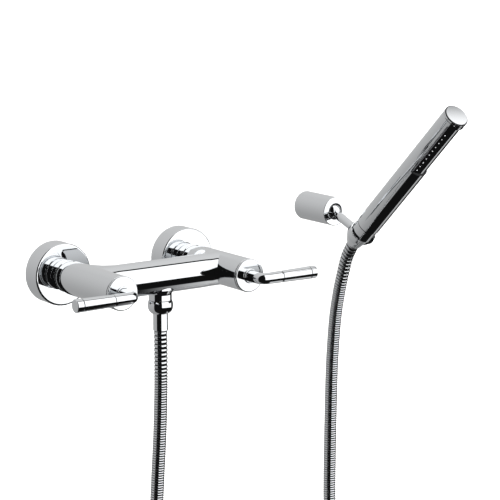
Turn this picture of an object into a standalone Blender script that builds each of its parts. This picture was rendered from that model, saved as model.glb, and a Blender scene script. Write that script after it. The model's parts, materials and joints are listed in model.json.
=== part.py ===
"""Wall mounted two-handle bath and shower mixer with a hose, a stick handset and a tilting wall bracket.

Frame: +X runs along the wall to the right, +Y into the wall, +Z up. The origin is the point of the wall
midway between the two inlets. Every size is in metres. A turned piece is given as its outline, in
(radius, distance along its axis) steps, and it stands in a frame whose +Z is the piece's own axis.
"""

import math

import bmesh
import bpy
from mathutils import Matrix, Vector

# Clearances
GAP = 0.0003  # between faces that touch on the real object
SLIDE_GAP = 0.0004  # round a piece that turns or lifts out
SHELL = 0.0012  # spun brass sheet

# Inlets and wall fittings
INLET_SPACING = 0.150
FLANGE_RADIUS = 0.0320
FLANGE_DEPTH = 0.0220
CONNECTOR_TAIL_RADIUS = 0.0103  # half inch pipe thread
CONNECTOR_TAIL_LENGTH = 0.0140
CONNECTOR_RADIUS = 0.0130  # three quarter inch pipe thread
CONNECTOR_BORE = 0.0070
NUT_LENGTH = 0.0194
NUT_WALL = 0.0021
NUT_LIP = 0.0033
WASHER_THICK = 0.0019

# Mixer body
LEG_RADIUS = 0.0170
LEG_FRONT = 0.1319  # the front edge of each leg, from the wall
BAR_RADIUS = 0.0173
BAR_FROM_WALL = 0.0845
BEND_RADIUS = 0.0340
BEND_SINK = 0.0004  # keeps the bends just under the legs' and the bar's surface
INLET_BORE = 0.0065
BAR_BORE = 0.0060
CAVITY_RADIUS = 0.0114  # holds the cartridge
SEAT_FROM_WALL = 0.0720
COUNTERBORE_RADIUS = 0.0139
COUNTERBORE_DEPTH = 0.0224  # from the leg's front edge
TAIL_COLLAR = 0.0030
TAIL_NECK_WALL = 0.0041

# Cartridge
CARTRIDGE_WALL = 0.0032
CARTRIDGE_LENGTH = 0.0412
CARTRIDGE_FOOT = 0.0057
CARTRIDGE_WAIST = 0.0120
DISC_THICK = 0.0030
SPINDLE_RADIUS = 0.0044
SPINDLE_FLANGE = 0.0031
SPINDLE_BORE = 0.0025

# Handles
HANDLE_DISC_THICK = 0.0025
HANDLE_DISC_GAP = 0.0005
HANDLE_EDGE = 0.0008
HUB_RADIUS = 0.0073
HUB_HEIGHT = 0.0015
HANDLE_BOSS_LENGTH = 0.0164
LEVER_OFFSET = 0.0210  # from the disc's face to the rod's axis
LEVER_LENGTH = 0.0655  # from the handle's axis to the rod's tip
LEVER_ROOT_RADIUS = 0.0057
LEVER_TIP_RADIUS = 0.0066
LEVER_ARM_LENGTH = 0.0230
LEVER_CAP_LENGTH = 0.0070
LEVER_JOINT = 0.0005
LEVER_PIN_RADIUS = 0.0032
LEVER_PIN_LENGTH = 0.0110
SCREW_RADIUS = 0.0022
SCREW_HEAD_RADIUS = 0.0042
SCREW_HEAD_LENGTH = 0.0027

# Outlet, downwards from the bar's axis
BOSS_RADIUS = 0.0117
BOSS_DROP = 0.0240
BOSS_FLARE = 0.0020
OUTLET_THREAD_RADIUS = 0.0098
NIPPLE_DROP = 0.0313
NIPPLE_START = 0.0135
HOSE_NUT_RADIUS = 0.0129
HOSE_NUT_DROP = 0.0374
FERRULE_RADIUS = 0.0076
FERRULE_DROP = 0.0557
FERRULE_BORE = 0.0045
FLANGE_OF_FERRULE = 0.0018

# Hose
HOSE_DIAMETER = 0.0140
HOSE_STEP = 0.0290
HOSE_FINE_STEP = 0.0060
HOSE_FINE_COUNT = 4
HOSE_STRAIGHT = 0.0030  # below the cone nut, in line with it
HOSE_ROUTE = (
    (0.0000, -0.0845, -0.0850),
    (-0.0003, -0.0843, -0.1200),
    (-0.0015, -0.0835, -0.1650),
    (-0.0034, -0.0815, -0.2150),
    (-0.0048, -0.0790, -0.2750),
    (-0.0045, -0.0765, -0.3380),
    (-0.0010, -0.0740, -0.4000),
    (0.0080, -0.0715, -0.4590),
    (0.0260, -0.0690, -0.5130),
    (0.0555, -0.0665, -0.5560),
    (0.0960, -0.0635, -0.5820),
    (0.1400, -0.0605, -0.5840),
    (0.1820, -0.0575, -0.5620),
    (0.2130, -0.0545, -0.5210),
    (0.2330, -0.0515, -0.4670),
    (0.2435, -0.0490, -0.4060),
    (0.2480, -0.0465, -0.3400),
    (0.2485, -0.0450, -0.2700),
    (0.2482, -0.0462, -0.2050),
    (0.2476, -0.0485, -0.1450),
    (0.2472, -0.0515, -0.1080),
    (0.2470, -0.0556, -0.0760),
    (0.2470, -0.0619, -0.0480),
    (0.2470, -0.0686, -0.0260),
    (0.2470, -0.0752, -0.0085),
)

# Wall bracket
BRACKET_X = 0.2470
BRACKET_Z = 0.0375
SLEEVE_RADIUS = 0.01575
SLEEVE_LENGTH = 0.0535
SLEEVE_WALL = 0.00155
BALL_RADIUS = 0.0090
BALL_FROM_WALL = 0.0485
POST_LENGTH = 0.0300
POST_RADIUS = 0.0095
PLATE_THICK = 0.0040
WALL_SCREW_RADIUS = 0.0023
WALL_SCREW_DEPTH = 0.0145
WALL_PLUG_RADIUS = 0.0035
WALL_PLUG_DEPTH = 0.0160
SEAT_DEPTH = 0.0137
ARM_RADIUS = 0.0046
ARM_NECK_RADIUS = 0.0036
ARM_DROP_ANGLE = math.radians(20)

# Handset, along its own axis from a point inside the holder
HANDSET_OUT = 0.0921
HANDSET_UP = 0.0130
HANDSET_LEAN = math.radians(46.4)
HANDSET_RADIUS = 0.0129
HANDSET_LENGTH = 0.2150
HANDSET_WALL = 0.00145
CONE_NUT_TOP = 0.0264
CONE_NUT_RADIUS = 0.0124
CONE_NUT_STRAIGHT = 0.0108
CONE_NUT_END = -0.0072
CONE_NUT_END_RADIUS = 0.0080
HOLDER_TOP = 0.0138
HOLDER_END = -0.0062
HOLDER_WALL = 0.0022
HOLDER_SLOT = 0.0156  # at the cup's lower end
HOLDER_MOUTH = 0.0236  # at its rim
CAP_LENGTH = 0.0029
SPRAY_START = 0.1310
SPRAY_END = 0.2070
SPRAY_FLAT = 0.0066  # from the handset's axis to its cut flat
SPRAY_PLATE_THICK = 0.0020
NOZZLE_ROWS = 10
NOZZLE_COLUMNS = 4
NOZZLE_ROW_PITCH = 0.0064
NOZZLE_FIELD_START = 0.0023  # from the start of the cut flat
NOZZLE_COLUMN_PITCH = 0.0038
NOZZLE_BASE = 0.0024
NOZZLE_TIP_SHARE = 0.6
NOZZLE_HEIGHT = 0.0024
MAT_THICK = 0.0009
WATERWAY_RADIUS = 0.0086
WATERWAY_WALL = 0.0016

# Facets of a full circle, and the turn that keeps a cutter's facets off those of the piece it cuts
FINE = 24
MEDIUM = 20
COARSE = 12
CUTTER_TURN = math.radians(4)

# Places that follow from the sizes above
HALF = INLET_SPACING / 2
NUT_START = FLANGE_DEPTH + GAP
NUT_END = NUT_START + NUT_LENGTH
LEG_BACK = NUT_END + GAP
TAIL_COLLAR_FRONT = NUT_END - NUT_LIP - GAP
TAIL_BACK = TAIL_COLLAR_FRONT - TAIL_COLLAR
WASHER_BACK = TAIL_BACK - GAP - WASHER_THICK
CONNECTOR_END = WASHER_BACK - GAP
NUT_BORE = CONNECTOR_RADIUS + SLIDE_GAP
TAIL_NECK_RADIUS = INLET_BORE + TAIL_NECK_WALL
DISC_BACK = LEG_FRONT + HANDLE_DISC_GAP
DISC_FACE = DISC_BACK + HANDLE_DISC_THICK
LEVER_AXIS = DISC_FACE + LEVER_OFFSET
BALL_SEAT_RADIUS = BALL_RADIUS + GAP
CONE_SHOULDER = CONE_NUT_STRAIGHT - 0.0010
CONE_SHOULDER_RADIUS = CONE_NUT_RADIUS - 0.0008

CHROME = ("chrome_plated_brass", (0.78, 0.79, 0.80, 1.0), 1.0, 0.06)
BRASS = ("turned_brass", (0.72, 0.56, 0.28, 1.0), 1.0, 0.30)
STEEL = ("stainless_steel", (0.60, 0.60, 0.61, 1.0), 1.0, 0.25)
RUBBER = ("black_rubber", (0.03, 0.03, 0.03, 1.0), 0.0, 0.70)
CERAMIC = ("white_ceramic", (0.86, 0.86, 0.84, 1.0), 0.0, 0.15)
GREY_PLASTIC = ("grey_plastic", (0.10, 0.10, 0.11, 1.0), 0.0, 0.35)
NYLON = ("pale_nylon", (0.70, 0.70, 0.68, 1.0), 0.0, 0.55)
SILICONE = ("clear_silicone", (0.66, 0.68, 0.70, 1.0), 0.0, 0.40)
HOSE_STEEL = ("chromed_steel_hose", (0.74, 0.75, 0.76, 1.0), 1.0, 0.12)


def clear_scene():
    """Removes every object, so that the script can be run again."""
    for obj in list(bpy.data.objects):
        bpy.data.objects.remove(obj, do_unlink=True)


def new_collection(name):
    collection = bpy.data.collections.new(name)
    bpy.context.scene.collection.children.link(collection)
    return collection


clear_scene()
PARTS = new_collection("wall_bath_mixer")
CUTTERS = new_collection("cutters")
CUTTERS.hide_render = True


def material(finish):
    """The Principled material of a finish, made once."""
    name, color, metallic, roughness = finish
    found = bpy.data.materials.get(name)
    if found:
        return found
    made = bpy.data.materials.new(name)
    made.use_nodes = True
    shader = made.node_tree.nodes["Principled BSDF"]
    shader.inputs["Base Color"].default_value = color
    shader.inputs["Metallic"].default_value = metallic
    shader.inputs["Roughness"].default_value = roughness
    return made


def frame(name, location, turn_x=0.0, turn_y=0.0, parent=None):
    """An empty whose +Z is the axis of the pieces placed in it."""
    empty = bpy.data.objects.new(name, None)
    PARTS.objects.link(empty)
    empty.location = location
    empty.rotation_euler = (turn_x, turn_y, 0.0)
    empty.parent = parent
    return empty


def add(name, mesh, finish, parent):
    """A part of the mixer when it has a finish, else a cutter."""
    obj = bpy.data.objects.new(name, mesh)
    obj.parent = parent
    if finish is None:
        CUTTERS.objects.link(obj)
        obj.hide_render = True
        obj.display_type = "WIRE"
    else:
        PARTS.objects.link(obj)
        mesh.materials.append(material(finish))
    return obj


def turned(name, outline, finish, parent, facets=COARSE, closed=True):
    """A turned piece. Its outline runs down its outer side, and closed joins its last point to its first."""
    count = len(outline)
    edges = [(i, i + 1) for i in range(count - 1)]
    if closed:
        edges.append((count - 1, 0))
    mesh = bpy.data.meshes.new(name)
    mesh.from_pydata([(radius, 0.0, along) for radius, along in outline], edges, [])
    obj = add(name, mesh, finish, parent)
    if finish is None:
        obj.rotation_euler.z = CUTTER_TURN
    screw = obj.modifiers.new("turn", "SCREW")
    screw.steps = facets
    screw.render_steps = facets
    screw.use_smooth_shade = True
    screw.use_merge_vertices = True
    screw.merge_threshold = 0.00001
    return obj


def ring(name, inner, outer, start, end, finish, parent, facets=COARSE):
    """A plain tube or washer."""
    outline = [(outer, end), (outer, start), (inner, start), (inner, end)]
    return turned(name, outline, finish, parent, facets)


def rod(name, radius, start, end, finish, parent, facets=COARSE):
    """A plain solid cylinder."""
    outline = [(0.0, end), (radius, end), (radius, start), (0.0, start)]
    return turned(name, outline, finish, parent, facets, closed=False)


def block(name, low, high, finish, parent):
    """A box between two corners."""
    low, high = Vector(low), Vector(high)
    bm = bmesh.new()
    bmesh.ops.create_cube(bm, size=1.0)
    bmesh.ops.scale(bm, vec=high - low, verts=bm.verts)
    bmesh.ops.translate(bm, vec=(low + high) / 2, verts=bm.verts)
    mesh = bpy.data.meshes.new(name)
    bm.to_mesh(mesh)
    bm.free()
    return add(name, mesh, finish, parent)


def combine(obj, other, operation):
    """Joins other to obj, or cuts it away, with an exact Boolean."""
    boolean = obj.modifiers.new(operation.lower() + "_" + other.name, "BOOLEAN")
    boolean.operation = operation
    boolean.solver = "EXACT"
    boolean.object = other


def bend(name, radius, around, location, side):
    """A quarter turn of tube of that radius, its middle line `around` from its centre of turn."""
    bm = bmesh.new()
    made = bmesh.ops.create_circle(bm, cap_ends=True, radius=radius, segments=FINE)
    turn = Matrix.Translation((-side * around, 0.0, 0.0))
    bmesh.ops.transform(bm, matrix=turn, verts=made["verts"])
    bmesh.ops.spin(
        bm,
        geom=bm.verts[:] + bm.edges[:] + bm.faces[:],
        cent=(0.0, 0.0, 0.0),
        axis=(0.0, 1.0, 0.0),
        angle=side * math.pi / 2,
        steps=8,
    )
    bmesh.ops.holes_fill(bm, edges=bm.edges, sides=FINE)
    bmesh.ops.recalc_face_normals(bm, faces=bm.faces)
    mesh = bpy.data.meshes.new(name)
    bm.to_mesh(mesh)
    bm.free()
    obj = add(name, mesh, None, BODY_FRAME)
    obj.location = location
    return obj


# ---------------------------------------------------------------------------------------------- frames
# Everything along the wall's normal stands in a frame whose +Z points out of the wall.
OUTWARD = math.pi / 2
BODY_FRAME = frame("body_frame", (0.0, 0.0, 0.0), OUTWARD)
LEG_FRAMES = {
    "left": frame("left_handle_axis", (-HALF, 0.0, 0.0), OUTWARD),
    "right": frame("right_handle_axis", (HALF, 0.0, 0.0), OUTWARD),
}
SIDE_SIGN = {"left": -1.0, "right": 1.0}
OUTLET_FRAME = frame("outlet_axis", (0.0, -BAR_FROM_WALL, 0.0), math.pi)
BRACKET_FRAME = frame("bracket_axis", (BRACKET_X, 0.0, BRACKET_Z), OUTWARD)
BALL_FRAME = frame(
    "ball_axis", (BRACKET_X, -BALL_FROM_WALL, BRACKET_Z), OUTWARD + ARM_DROP_ANGLE
)
HANDSET_FRAME = frame("handset_axis", (BRACKET_X, -HANDSET_OUT, HANDSET_UP), HANDSET_LEAN)


# ------------------------------------------------------------------------------------------ wall inlets
def wall_inlet(side):
    """The flange, the wall connector, its nut and its washer on one side."""
    parent = LEG_FRAMES[side]
    hole = CONNECTOR_RADIUS + SLIDE_GAP
    turned(
        f"wall_flange_{side}",
        [
            (hole, FLANGE_DEPTH),
            (FLANGE_RADIUS - HANDLE_EDGE, FLANGE_DEPTH),
            (FLANGE_RADIUS, FLANGE_DEPTH - HANDLE_EDGE),
            (FLANGE_RADIUS, 0.0),
            (FLANGE_RADIUS - SHELL, 0.0),
            (FLANGE_RADIUS - SHELL, FLANGE_DEPTH - SHELL),
            (hole, FLANGE_DEPTH - SHELL),
        ],
        CHROME,
        parent,
        FINE,
    )
    turned(
        f"wall_connector_{side}",
        [
            (CONNECTOR_RADIUS, CONNECTOR_END),
            (CONNECTOR_RADIUS, 0.0),
            (CONNECTOR_TAIL_RADIUS, 0.0),
            (CONNECTOR_TAIL_RADIUS, -CONNECTOR_TAIL_LENGTH),
            (CONNECTOR_BORE, -CONNECTOR_TAIL_LENGTH),
            (CONNECTOR_BORE, CONNECTOR_END),
        ],
        BRASS,
        parent,
    )
    outer = NUT_BORE + NUT_WALL
    bead = outer + 0.0008
    middle = NUT_START + 0.45 * NUT_LENGTH
    turned(
        f"union_nut_{side}",
        [
            (outer, NUT_END),
            (outer, middle + 0.0022),
            (bead, middle + 0.0015),
            (bead, middle - 0.0010),
            (outer, middle - 0.0017),
            (outer, NUT_START),
            (NUT_BORE, NUT_START),
            (NUT_BORE, NUT_END - NUT_LIP),
            (TAIL_NECK_RADIUS + SLIDE_GAP, NUT_END - NUT_LIP),
            (TAIL_NECK_RADIUS + SLIDE_GAP, NUT_END),
        ],
        CHROME,
        parent,
        MEDIUM,
    )
    ring(
        f"inlet_washer_{side}",
        CONNECTOR_BORE,
        CONNECTOR_RADIUS,
        WASHER_BACK,
        WASHER_BACK + WASHER_THICK,
        RUBBER,
        parent,
    )


# ------------------------------------------------------------------------------------------- mixer body
def leg_blank(name, finish, parent):
    """One leg with its collared tail, solid."""
    return turned(
        name,
        [
            (0.0, LEG_FRONT),
            (LEG_RADIUS - HANDLE_EDGE / 2, LEG_FRONT),
            (LEG_RADIUS, LEG_FRONT - HANDLE_EDGE / 2),
            (LEG_RADIUS, LEG_BACK + HANDLE_EDGE),
            (LEG_RADIUS - HANDLE_EDGE, LEG_BACK),
            (TAIL_NECK_RADIUS, LEG_BACK),
            (TAIL_NECK_RADIUS, TAIL_COLLAR_FRONT),
            (CONNECTOR_RADIUS, TAIL_COLLAR_FRONT),
            (CONNECTOR_RADIUS, TAIL_BACK),
            (0.0, TAIL_BACK),
        ],
        finish,
        parent,
        FINE,
        closed=False,
    )


def leg_bore(side):
    """The stepped hollow of one leg: inlet passage, cartridge cavity and counterbore."""
    beyond = 0.005
    shelf = LEG_FRONT - COUNTERBORE_DEPTH
    return turned(
        f"leg_bore_{side}",
        [
            (0.0, LEG_FRONT + beyond),
            (COUNTERBORE_RADIUS, LEG_FRONT + beyond),
            (COUNTERBORE_RADIUS, shelf),
            (CAVITY_RADIUS, shelf),
            (CAVITY_RADIUS, SEAT_FROM_WALL),
            (INLET_BORE, SEAT_FROM_WALL),
            (INLET_BORE, TAIL_BACK - beyond),
            (0.0, TAIL_BACK - beyond),
        ],
        None,
        LEG_FRAMES[side],
        MEDIUM,
        closed=False,
    )


def mixer_body():
    """The casting: two legs, the bar between them with a bend at each end, and the outlet boss."""
    bar_frame = frame("bar_axis", (0.0, -BAR_FROM_WALL, 0.0), 0.0, math.pi / 2)
    body = leg_blank("mixer_body", CHROME, LEG_FRAMES["left"])
    bar = rod("bar_blank", BAR_RADIUS, -HALF, HALF, None, bar_frame, FINE)
    combine(body, bar, "UNION")
    for side, sign in SIDE_SIGN.items():
        centre = (
            sign * (HALF - BEND_RADIUS),
            0.0,
            BAR_FROM_WALL - BEND_RADIUS,
        )
        radius = LEG_RADIUS - BEND_SINK
        tube = bend(f"bend_{side}", radius, BEND_RADIUS, centre, -sign)
        combine(body, tube, "UNION")
    combine(body, leg_blank("leg_blank_right", None, LEG_FRAMES["right"]), "UNION")
    flare = BAR_RADIUS - 0.0020
    boss = turned(
        "boss_blank",
        [
            (0.0, BOSS_DROP),
            (BOSS_RADIUS - 0.0004, BOSS_DROP),
            (BOSS_RADIUS, BOSS_DROP - 0.0004),
            (BOSS_RADIUS, flare + BOSS_FLARE),
            (BOSS_RADIUS + BOSS_FLARE, flare - BOSS_FLARE),
            (0.0, flare - BOSS_FLARE),
        ],
        None,
        OUTLET_FRAME,
        MEDIUM,
        closed=False,
    )
    combine(body, boss, "UNION")
    for side in SIDE_SIGN:
        combine(body, leg_bore(side), "DIFFERENCE")
    bore = rod("bar_bore", BAR_BORE, -HALF, HALF, None, bar_frame)
    combine(body, bore, "DIFFERENCE")
    thread = OUTLET_THREAD_RADIUS + SLIDE_GAP
    passage = turned(
        "outlet_bore",
        [
            (0.0, BOSS_DROP + 0.005),
            (thread, BOSS_DROP + 0.005),
            (thread, NIPPLE_START - GAP),
            (FERRULE_BORE, NIPPLE_START - GAP),
            (FERRULE_BORE, 0.0),
            (0.0, 0.0),
        ],
        None,
        OUTLET_FRAME,
        MEDIUM,
        closed=False,
    )
    combine(body, passage, "DIFFERENCE")


# ------------------------------------------------------------------------------------------- cartridges
def cartridge(side):
    """The quarter-turn headwork of one leg, from its seat seal to its spindle."""
    parent = LEG_FRAMES[side]
    shelf = LEG_FRONT - COUNTERBORE_DEPTH + GAP
    fit = CAVITY_RADIUS - GAP
    collar = COUNTERBORE_RADIUS - 2 * GAP
    foot = SEAT_FROM_WALL + GAP + WASHER_THICK + GAP
    top = foot + CARTRIDGE_LENGTH
    waist_start = foot + CARTRIDGE_FOOT
    waist_end = waist_start + CARTRIDGE_WAIST
    chamber = fit - CARTRIDGE_WALL
    disc_one = foot + GAP
    disc_two = disc_one + DISC_THICK + GAP
    flange = disc_two + DISC_THICK + GAP
    chamber_top = flange + SPINDLE_FLANGE + GAP
    spindle_hole = SPINDLE_RADIUS + GAP
    ring(
        f"seat_seal_{side}",
        INLET_BORE,
        fit,
        SEAT_FROM_WALL + GAP,
        SEAT_FROM_WALL + GAP + WASHER_THICK,
        RUBBER,
        parent,
    )
    body = turned(
        f"cartridge_body_{side}",
        [
            (collar, top),
            (collar, shelf),
            (fit, shelf),
            (fit, waist_end),
            (fit - 0.0017, waist_end),
            (fit - 0.0017, waist_start),
            (fit, waist_start),
            (fit, foot),
            (chamber, foot),
            (chamber, chamber_top),
            (spindle_hole, chamber_top),
            (spindle_hole, top),
        ],
        BRASS,
        parent,
    )
    window = block(
        f"cartridge_windows_{side}",
        (-2 * fit, -0.0030, waist_start + 0.0006),
        (2 * fit, 0.0030, chamber_top - 0.0012),
        None,
        parent,
    )
    combine(body, window, "DIFFERENCE")
    disc_radius = chamber - GAP
    ring(
        f"fixed_ceramic_disc_{side}",
        0.0026,
        disc_radius,
        disc_one,
        disc_one + DISC_THICK,
        CERAMIC,
        parent,
    )
    ring(
        f"turning_ceramic_disc_{side}",
        0.0020,
        disc_radius,
        disc_two,
        disc_two + DISC_THICK,
        CERAMIC,
        parent,
    )
    spindle_top = DISC_FACE - 0.0107
    turned(
        f"spindle_{side}",
        [
            (0.0, spindle_top - 0.0122),
            (SPINDLE_BORE, spindle_top - 0.0122),
            (SPINDLE_BORE, spindle_top),
            (SPINDLE_RADIUS, spindle_top),
            (SPINDLE_RADIUS, flange + SPINDLE_FLANGE),
            (disc_radius, flange + SPINDLE_FLANGE),
            (disc_radius, flange),
            (0.0, flange),
        ],
        BRASS,
        parent,
        COARSE,
        closed=False,
    )
    return spindle_top


# ---------------------------------------------------------------------------------------------- handles
def mitred_arm(name, sign, foot, finish, parent):
    """The lever's stem and the first stretch of its rod, one round bar with a mitred corner.

    A ring of the stem is carried up to the mitre plane, where its height falls with its distance
    towards the rod, and from there out along the rod, growing to the rod's wider end. A thinner pin
    follows on.
    """
    count = 16
    reach = sign * LEVER_ARM_LENGTH
    pin_end = sign * (LEVER_ARM_LENGTH + LEVER_PIN_LENGTH)
    grown = rod_radius(LEVER_ARM_LENGTH) - LEVER_JOINT
    rings = [[], [], [], [], [], []]
    for i in range(count):
        angle = 2 * math.pi * i / count
        x, y = math.cos(angle), math.sin(angle)
        rise = -sign * x
        root = LEVER_ROOT_RADIUS
        body = rod_radius(LEVER_ARM_LENGTH)
        rings[0].append((root * x, root * y, foot))
        rings[1].append((root * x, root * y, LEVER_AXIS + root * rise))
        rings[2].append((reach - sign * LEVER_JOINT, body * y, LEVER_AXIS + body * rise))
        rings[3].append((reach, grown * y, LEVER_AXIS + grown * rise))
        thin = LEVER_PIN_RADIUS
        rings[4].append((reach, thin * y, LEVER_AXIS + thin * rise))
        rings[5].append((pin_end, thin * y, LEVER_AXIS + thin * rise))
    bm = bmesh.new()
    rows = [[bm.verts.new(place) for place in row] for row in rings]
    for one, two in zip(rows, rows[1:]):
        for i in range(count):
            j = (i + 1) % count
            bm.faces.new((one[i], one[j], two[j], two[i])).smooth = True
    bm.faces.new(rows[0])
    bm.faces.new(rows[-1])
    bmesh.ops.recalc_face_normals(bm, faces=bm.faces)
    mesh = bpy.data.meshes.new(name)
    bm.to_mesh(mesh)
    bm.free()
    return add(name, mesh, finish, parent)


def rod_radius(along):
    """The lever rod's radius at that distance from the handle's axis."""
    return LEVER_ROOT_RADIUS + (LEVER_TIP_RADIUS - LEVER_ROOT_RADIUS) * (
        along / LEVER_LENGTH
    )


def handle(side, spindle_top):
    """The turning disc of one side, its screw and its lever."""
    parent = LEG_FRAMES[side]
    sign = SIDE_SIGN[side]
    boss = COUNTERBORE_RADIUS - SLIDE_GAP
    boss_back = DISC_BACK - HANDLE_BOSS_LENGTH
    socket = SPINDLE_RADIUS + GAP
    web = spindle_top + GAP
    head_seat = web + 0.0031
    head_recess = SCREW_HEAD_RADIUS + SLIDE_GAP
    foot_seat = head_seat + GAP + SCREW_HEAD_LENGTH + GAP
    foot_recess = LEVER_ROOT_RADIUS + GAP
    screw_hole = SCREW_RADIUS + GAP
    turned(
        f"handle_disc_{side}",
        [
            (HUB_RADIUS, DISC_FACE + HUB_HEIGHT),
            (HUB_RADIUS, DISC_FACE),
            (LEG_RADIUS - HANDLE_EDGE, DISC_FACE),
            (LEG_RADIUS, DISC_FACE - HANDLE_EDGE),
            (LEG_RADIUS, DISC_BACK),
            (boss, DISC_BACK),
            (boss, boss_back),
            (socket, boss_back),
            (socket, web),
            (screw_hole, web),
            (screw_hole, head_seat),
            (head_recess, head_seat),
            (head_recess, foot_seat),
            (foot_recess, foot_seat),
            (foot_recess, DISC_FACE + HUB_HEIGHT),
        ],
        CHROME,
        parent,
        FINE,
    )
    turned(
        f"handle_screw_{side}",
        [
            (0.0, head_seat + GAP + SCREW_HEAD_LENGTH),
            (SCREW_HEAD_RADIUS, head_seat + GAP + SCREW_HEAD_LENGTH),
            (SCREW_HEAD_RADIUS, head_seat + GAP),
            (SCREW_RADIUS, head_seat + GAP),
            (SCREW_RADIUS, spindle_top - 0.0100),
            (0.0, spindle_top - 0.0100),
        ],
        STEEL,
        parent,
        COARSE,
        closed=False,
    )
    mitred_arm(f"lever_arm_{side}", sign, foot_seat + GAP, CHROME, parent)
    rod_frame = frame(
        f"lever_axis_{side}", (0.0, 0.0, LEVER_AXIS), 0.0, sign * math.pi / 2, parent
    )
    grip_start = LEVER_ARM_LENGTH + LEVER_JOINT
    grip_end = LEVER_LENGTH - LEVER_CAP_LENGTH - LEVER_JOINT
    pin = LEVER_PIN_RADIUS + GAP
    pin_end = LEVER_ARM_LENGTH + LEVER_PIN_LENGTH + GAP
    turned(
        f"lever_grip_{side}",
        [
            (pin, grip_end),
            (rod_radius(grip_end) - LEVER_JOINT, grip_end),
            (rod_radius(grip_end), grip_end - LEVER_JOINT),
            (rod_radius(grip_start), grip_start + LEVER_JOINT),
            (rod_radius(grip_start) - LEVER_JOINT, grip_start),
            (pin, grip_start),
            (pin, pin_end),
            (pin - 0.0010, pin_end),
            (pin - 0.0010, grip_end - 0.0060),
            (pin, grip_end - 0.0060),
        ],
        CHROME,
        rod_frame,
        16,
    )
    cap_start = LEVER_LENGTH - LEVER_CAP_LENGTH
    turned(
        f"lever_cap_{side}",
        [
            (0.0, LEVER_LENGTH),
            (LEVER_TIP_RADIUS - 0.0006, LEVER_LENGTH),
            (LEVER_TIP_RADIUS, LEVER_LENGTH - 0.0006),
            (rod_radius(cap_start), cap_start),
            (LEVER_PIN_RADIUS, cap_start),
            (LEVER_PIN_RADIUS, grip_end - 0.0050),
            (0.0, grip_end - 0.0050),
        ],
        CHROME,
        rod_frame,
        16,
        closed=False,
    )


# ----------------------------------------------------------------------------------------------- outlet
def outlet():
    """The hose connection under the bar."""
    thread = OUTLET_THREAD_RADIUS
    valve = thread - 0.0022
    washer_start = NIPPLE_DROP + GAP
    flange_start = washer_start + WASHER_THICK + GAP
    shoulder = flange_start + FLANGE_OF_FERRULE + GAP
    ring(
        "outlet_nipple",
        valve,
        thread,
        NIPPLE_START,
        NIPPLE_DROP,
        BRASS,
        OUTLET_FRAME,
    )
    turned(
        "check_valve",
        [
            (valve - GAP, NIPPLE_DROP - 0.0030),
            (valve - GAP, NIPPLE_START + 0.0020),
            (0.0040, NIPPLE_START + 0.0020),
            (0.0030, NIPPLE_START + 0.0060),
            (0.0030, NIPPLE_DROP - 0.0030),
        ],
        NYLON,
        OUTLET_FRAME,
    )
    ring(
        "hose_washer_lower",
        FERRULE_BORE,
        thread,
        washer_start,
        washer_start + WASHER_THICK,
        RUBBER,
        OUTLET_FRAME,
    )
    nut_top = BOSS_DROP + GAP
    dome = HOSE_NUT_DROP - nut_top
    turned(
        "hose_nut_lower",
        [
            (FERRULE_RADIUS + SLIDE_GAP + 0.0004, HOSE_NUT_DROP),
            (HOSE_NUT_RADIUS - 0.0017, HOSE_NUT_DROP - 0.14 * dome),
            (HOSE_NUT_RADIUS - 0.0004, HOSE_NUT_DROP - 0.36 * dome),
            (HOSE_NUT_RADIUS, HOSE_NUT_DROP - 0.60 * dome),
            (HOSE_NUT_RADIUS, nut_top + 0.0005),
            (HOSE_NUT_RADIUS - 0.0005, nut_top),
            (thread + SLIDE_GAP, nut_top),
            (thread + SLIDE_GAP, shoulder),
            (FERRULE_RADIUS + SLIDE_GAP, shoulder),
            (FERRULE_RADIUS + SLIDE_GAP, HOSE_NUT_DROP - 0.0002),
        ],
        CHROME,
        OUTLET_FRAME,
        MEDIUM,
    )
    turned(
        "hose_ferrule_lower",
        [
            (FERRULE_RADIUS - 0.0006, FERRULE_DROP),
            (FERRULE_RADIUS, FERRULE_DROP - 0.0010),
            (FERRULE_RADIUS, flange_start + FLANGE_OF_FERRULE),
            (thread, flange_start + FLANGE_OF_FERRULE),
            (thread, flange_start),
            (FERRULE_BORE, flange_start),
            (FERRULE_BORE, FERRULE_DROP),
        ],
        CHROME,
        OUTLET_FRAME,
        16,
    )


# ------------------------------------------------------------------------------------------------- hose
def smooth_curve(points):
    """Close points along a Catmull-Rom curve through the given ones."""
    points = [Vector(p) for p in points]
    ends = [2 * points[0] - points[1]] + points + [2 * points[-1] - points[-2]]
    fine = []
    for a, b, c, d in zip(ends, ends[1:], ends[2:], ends[3:]):
        for i in range(20):
            t = i / 20
            line = 2 * b + (c - a) * t
            bow = (2 * a - 5 * b + 4 * c - d) * t * t
            twist = (3 * b - a - 3 * c + d) * t * t * t
            fine.append((line + bow + twist) / 2)
    fine.append(points[-1])
    return fine


def spaced(curve, step, fine_step, fine_count, straight):
    """Points a step apart along the curve, closer over its last bend, and one where it goes straight."""
    lengths = [0.0]
    for one, two in zip(curve, curve[1:]):
        lengths.append(lengths[-1] + (two - one).length)
    bend_end = lengths[-1] - straight
    bend_start = bend_end - fine_count * fine_step
    count = round(bend_start / step)
    wanted = [bend_start * i / count for i in range(count)]
    wanted += [bend_start + fine_step * i for i in range(fine_count + 1)]
    wanted.append(lengths[-1])
    route = []
    k = 0
    for place in wanted:
        while k < len(lengths) - 2 and lengths[k + 1] < place:
            k += 1
        share = (place - lengths[k]) / (lengths[k + 1] - lengths[k])
        route.append(curve[k].lerp(curve[k + 1], share))
    return route


def handset_point(along):
    """A point on the handset's axis, in the mixer's frame."""
    direction = Vector((0.0, -math.sin(HANDSET_LEAN), math.cos(HANDSET_LEAN)))
    return Vector((BRACKET_X, -HANDSET_OUT, HANDSET_UP)) + along * direction


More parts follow.
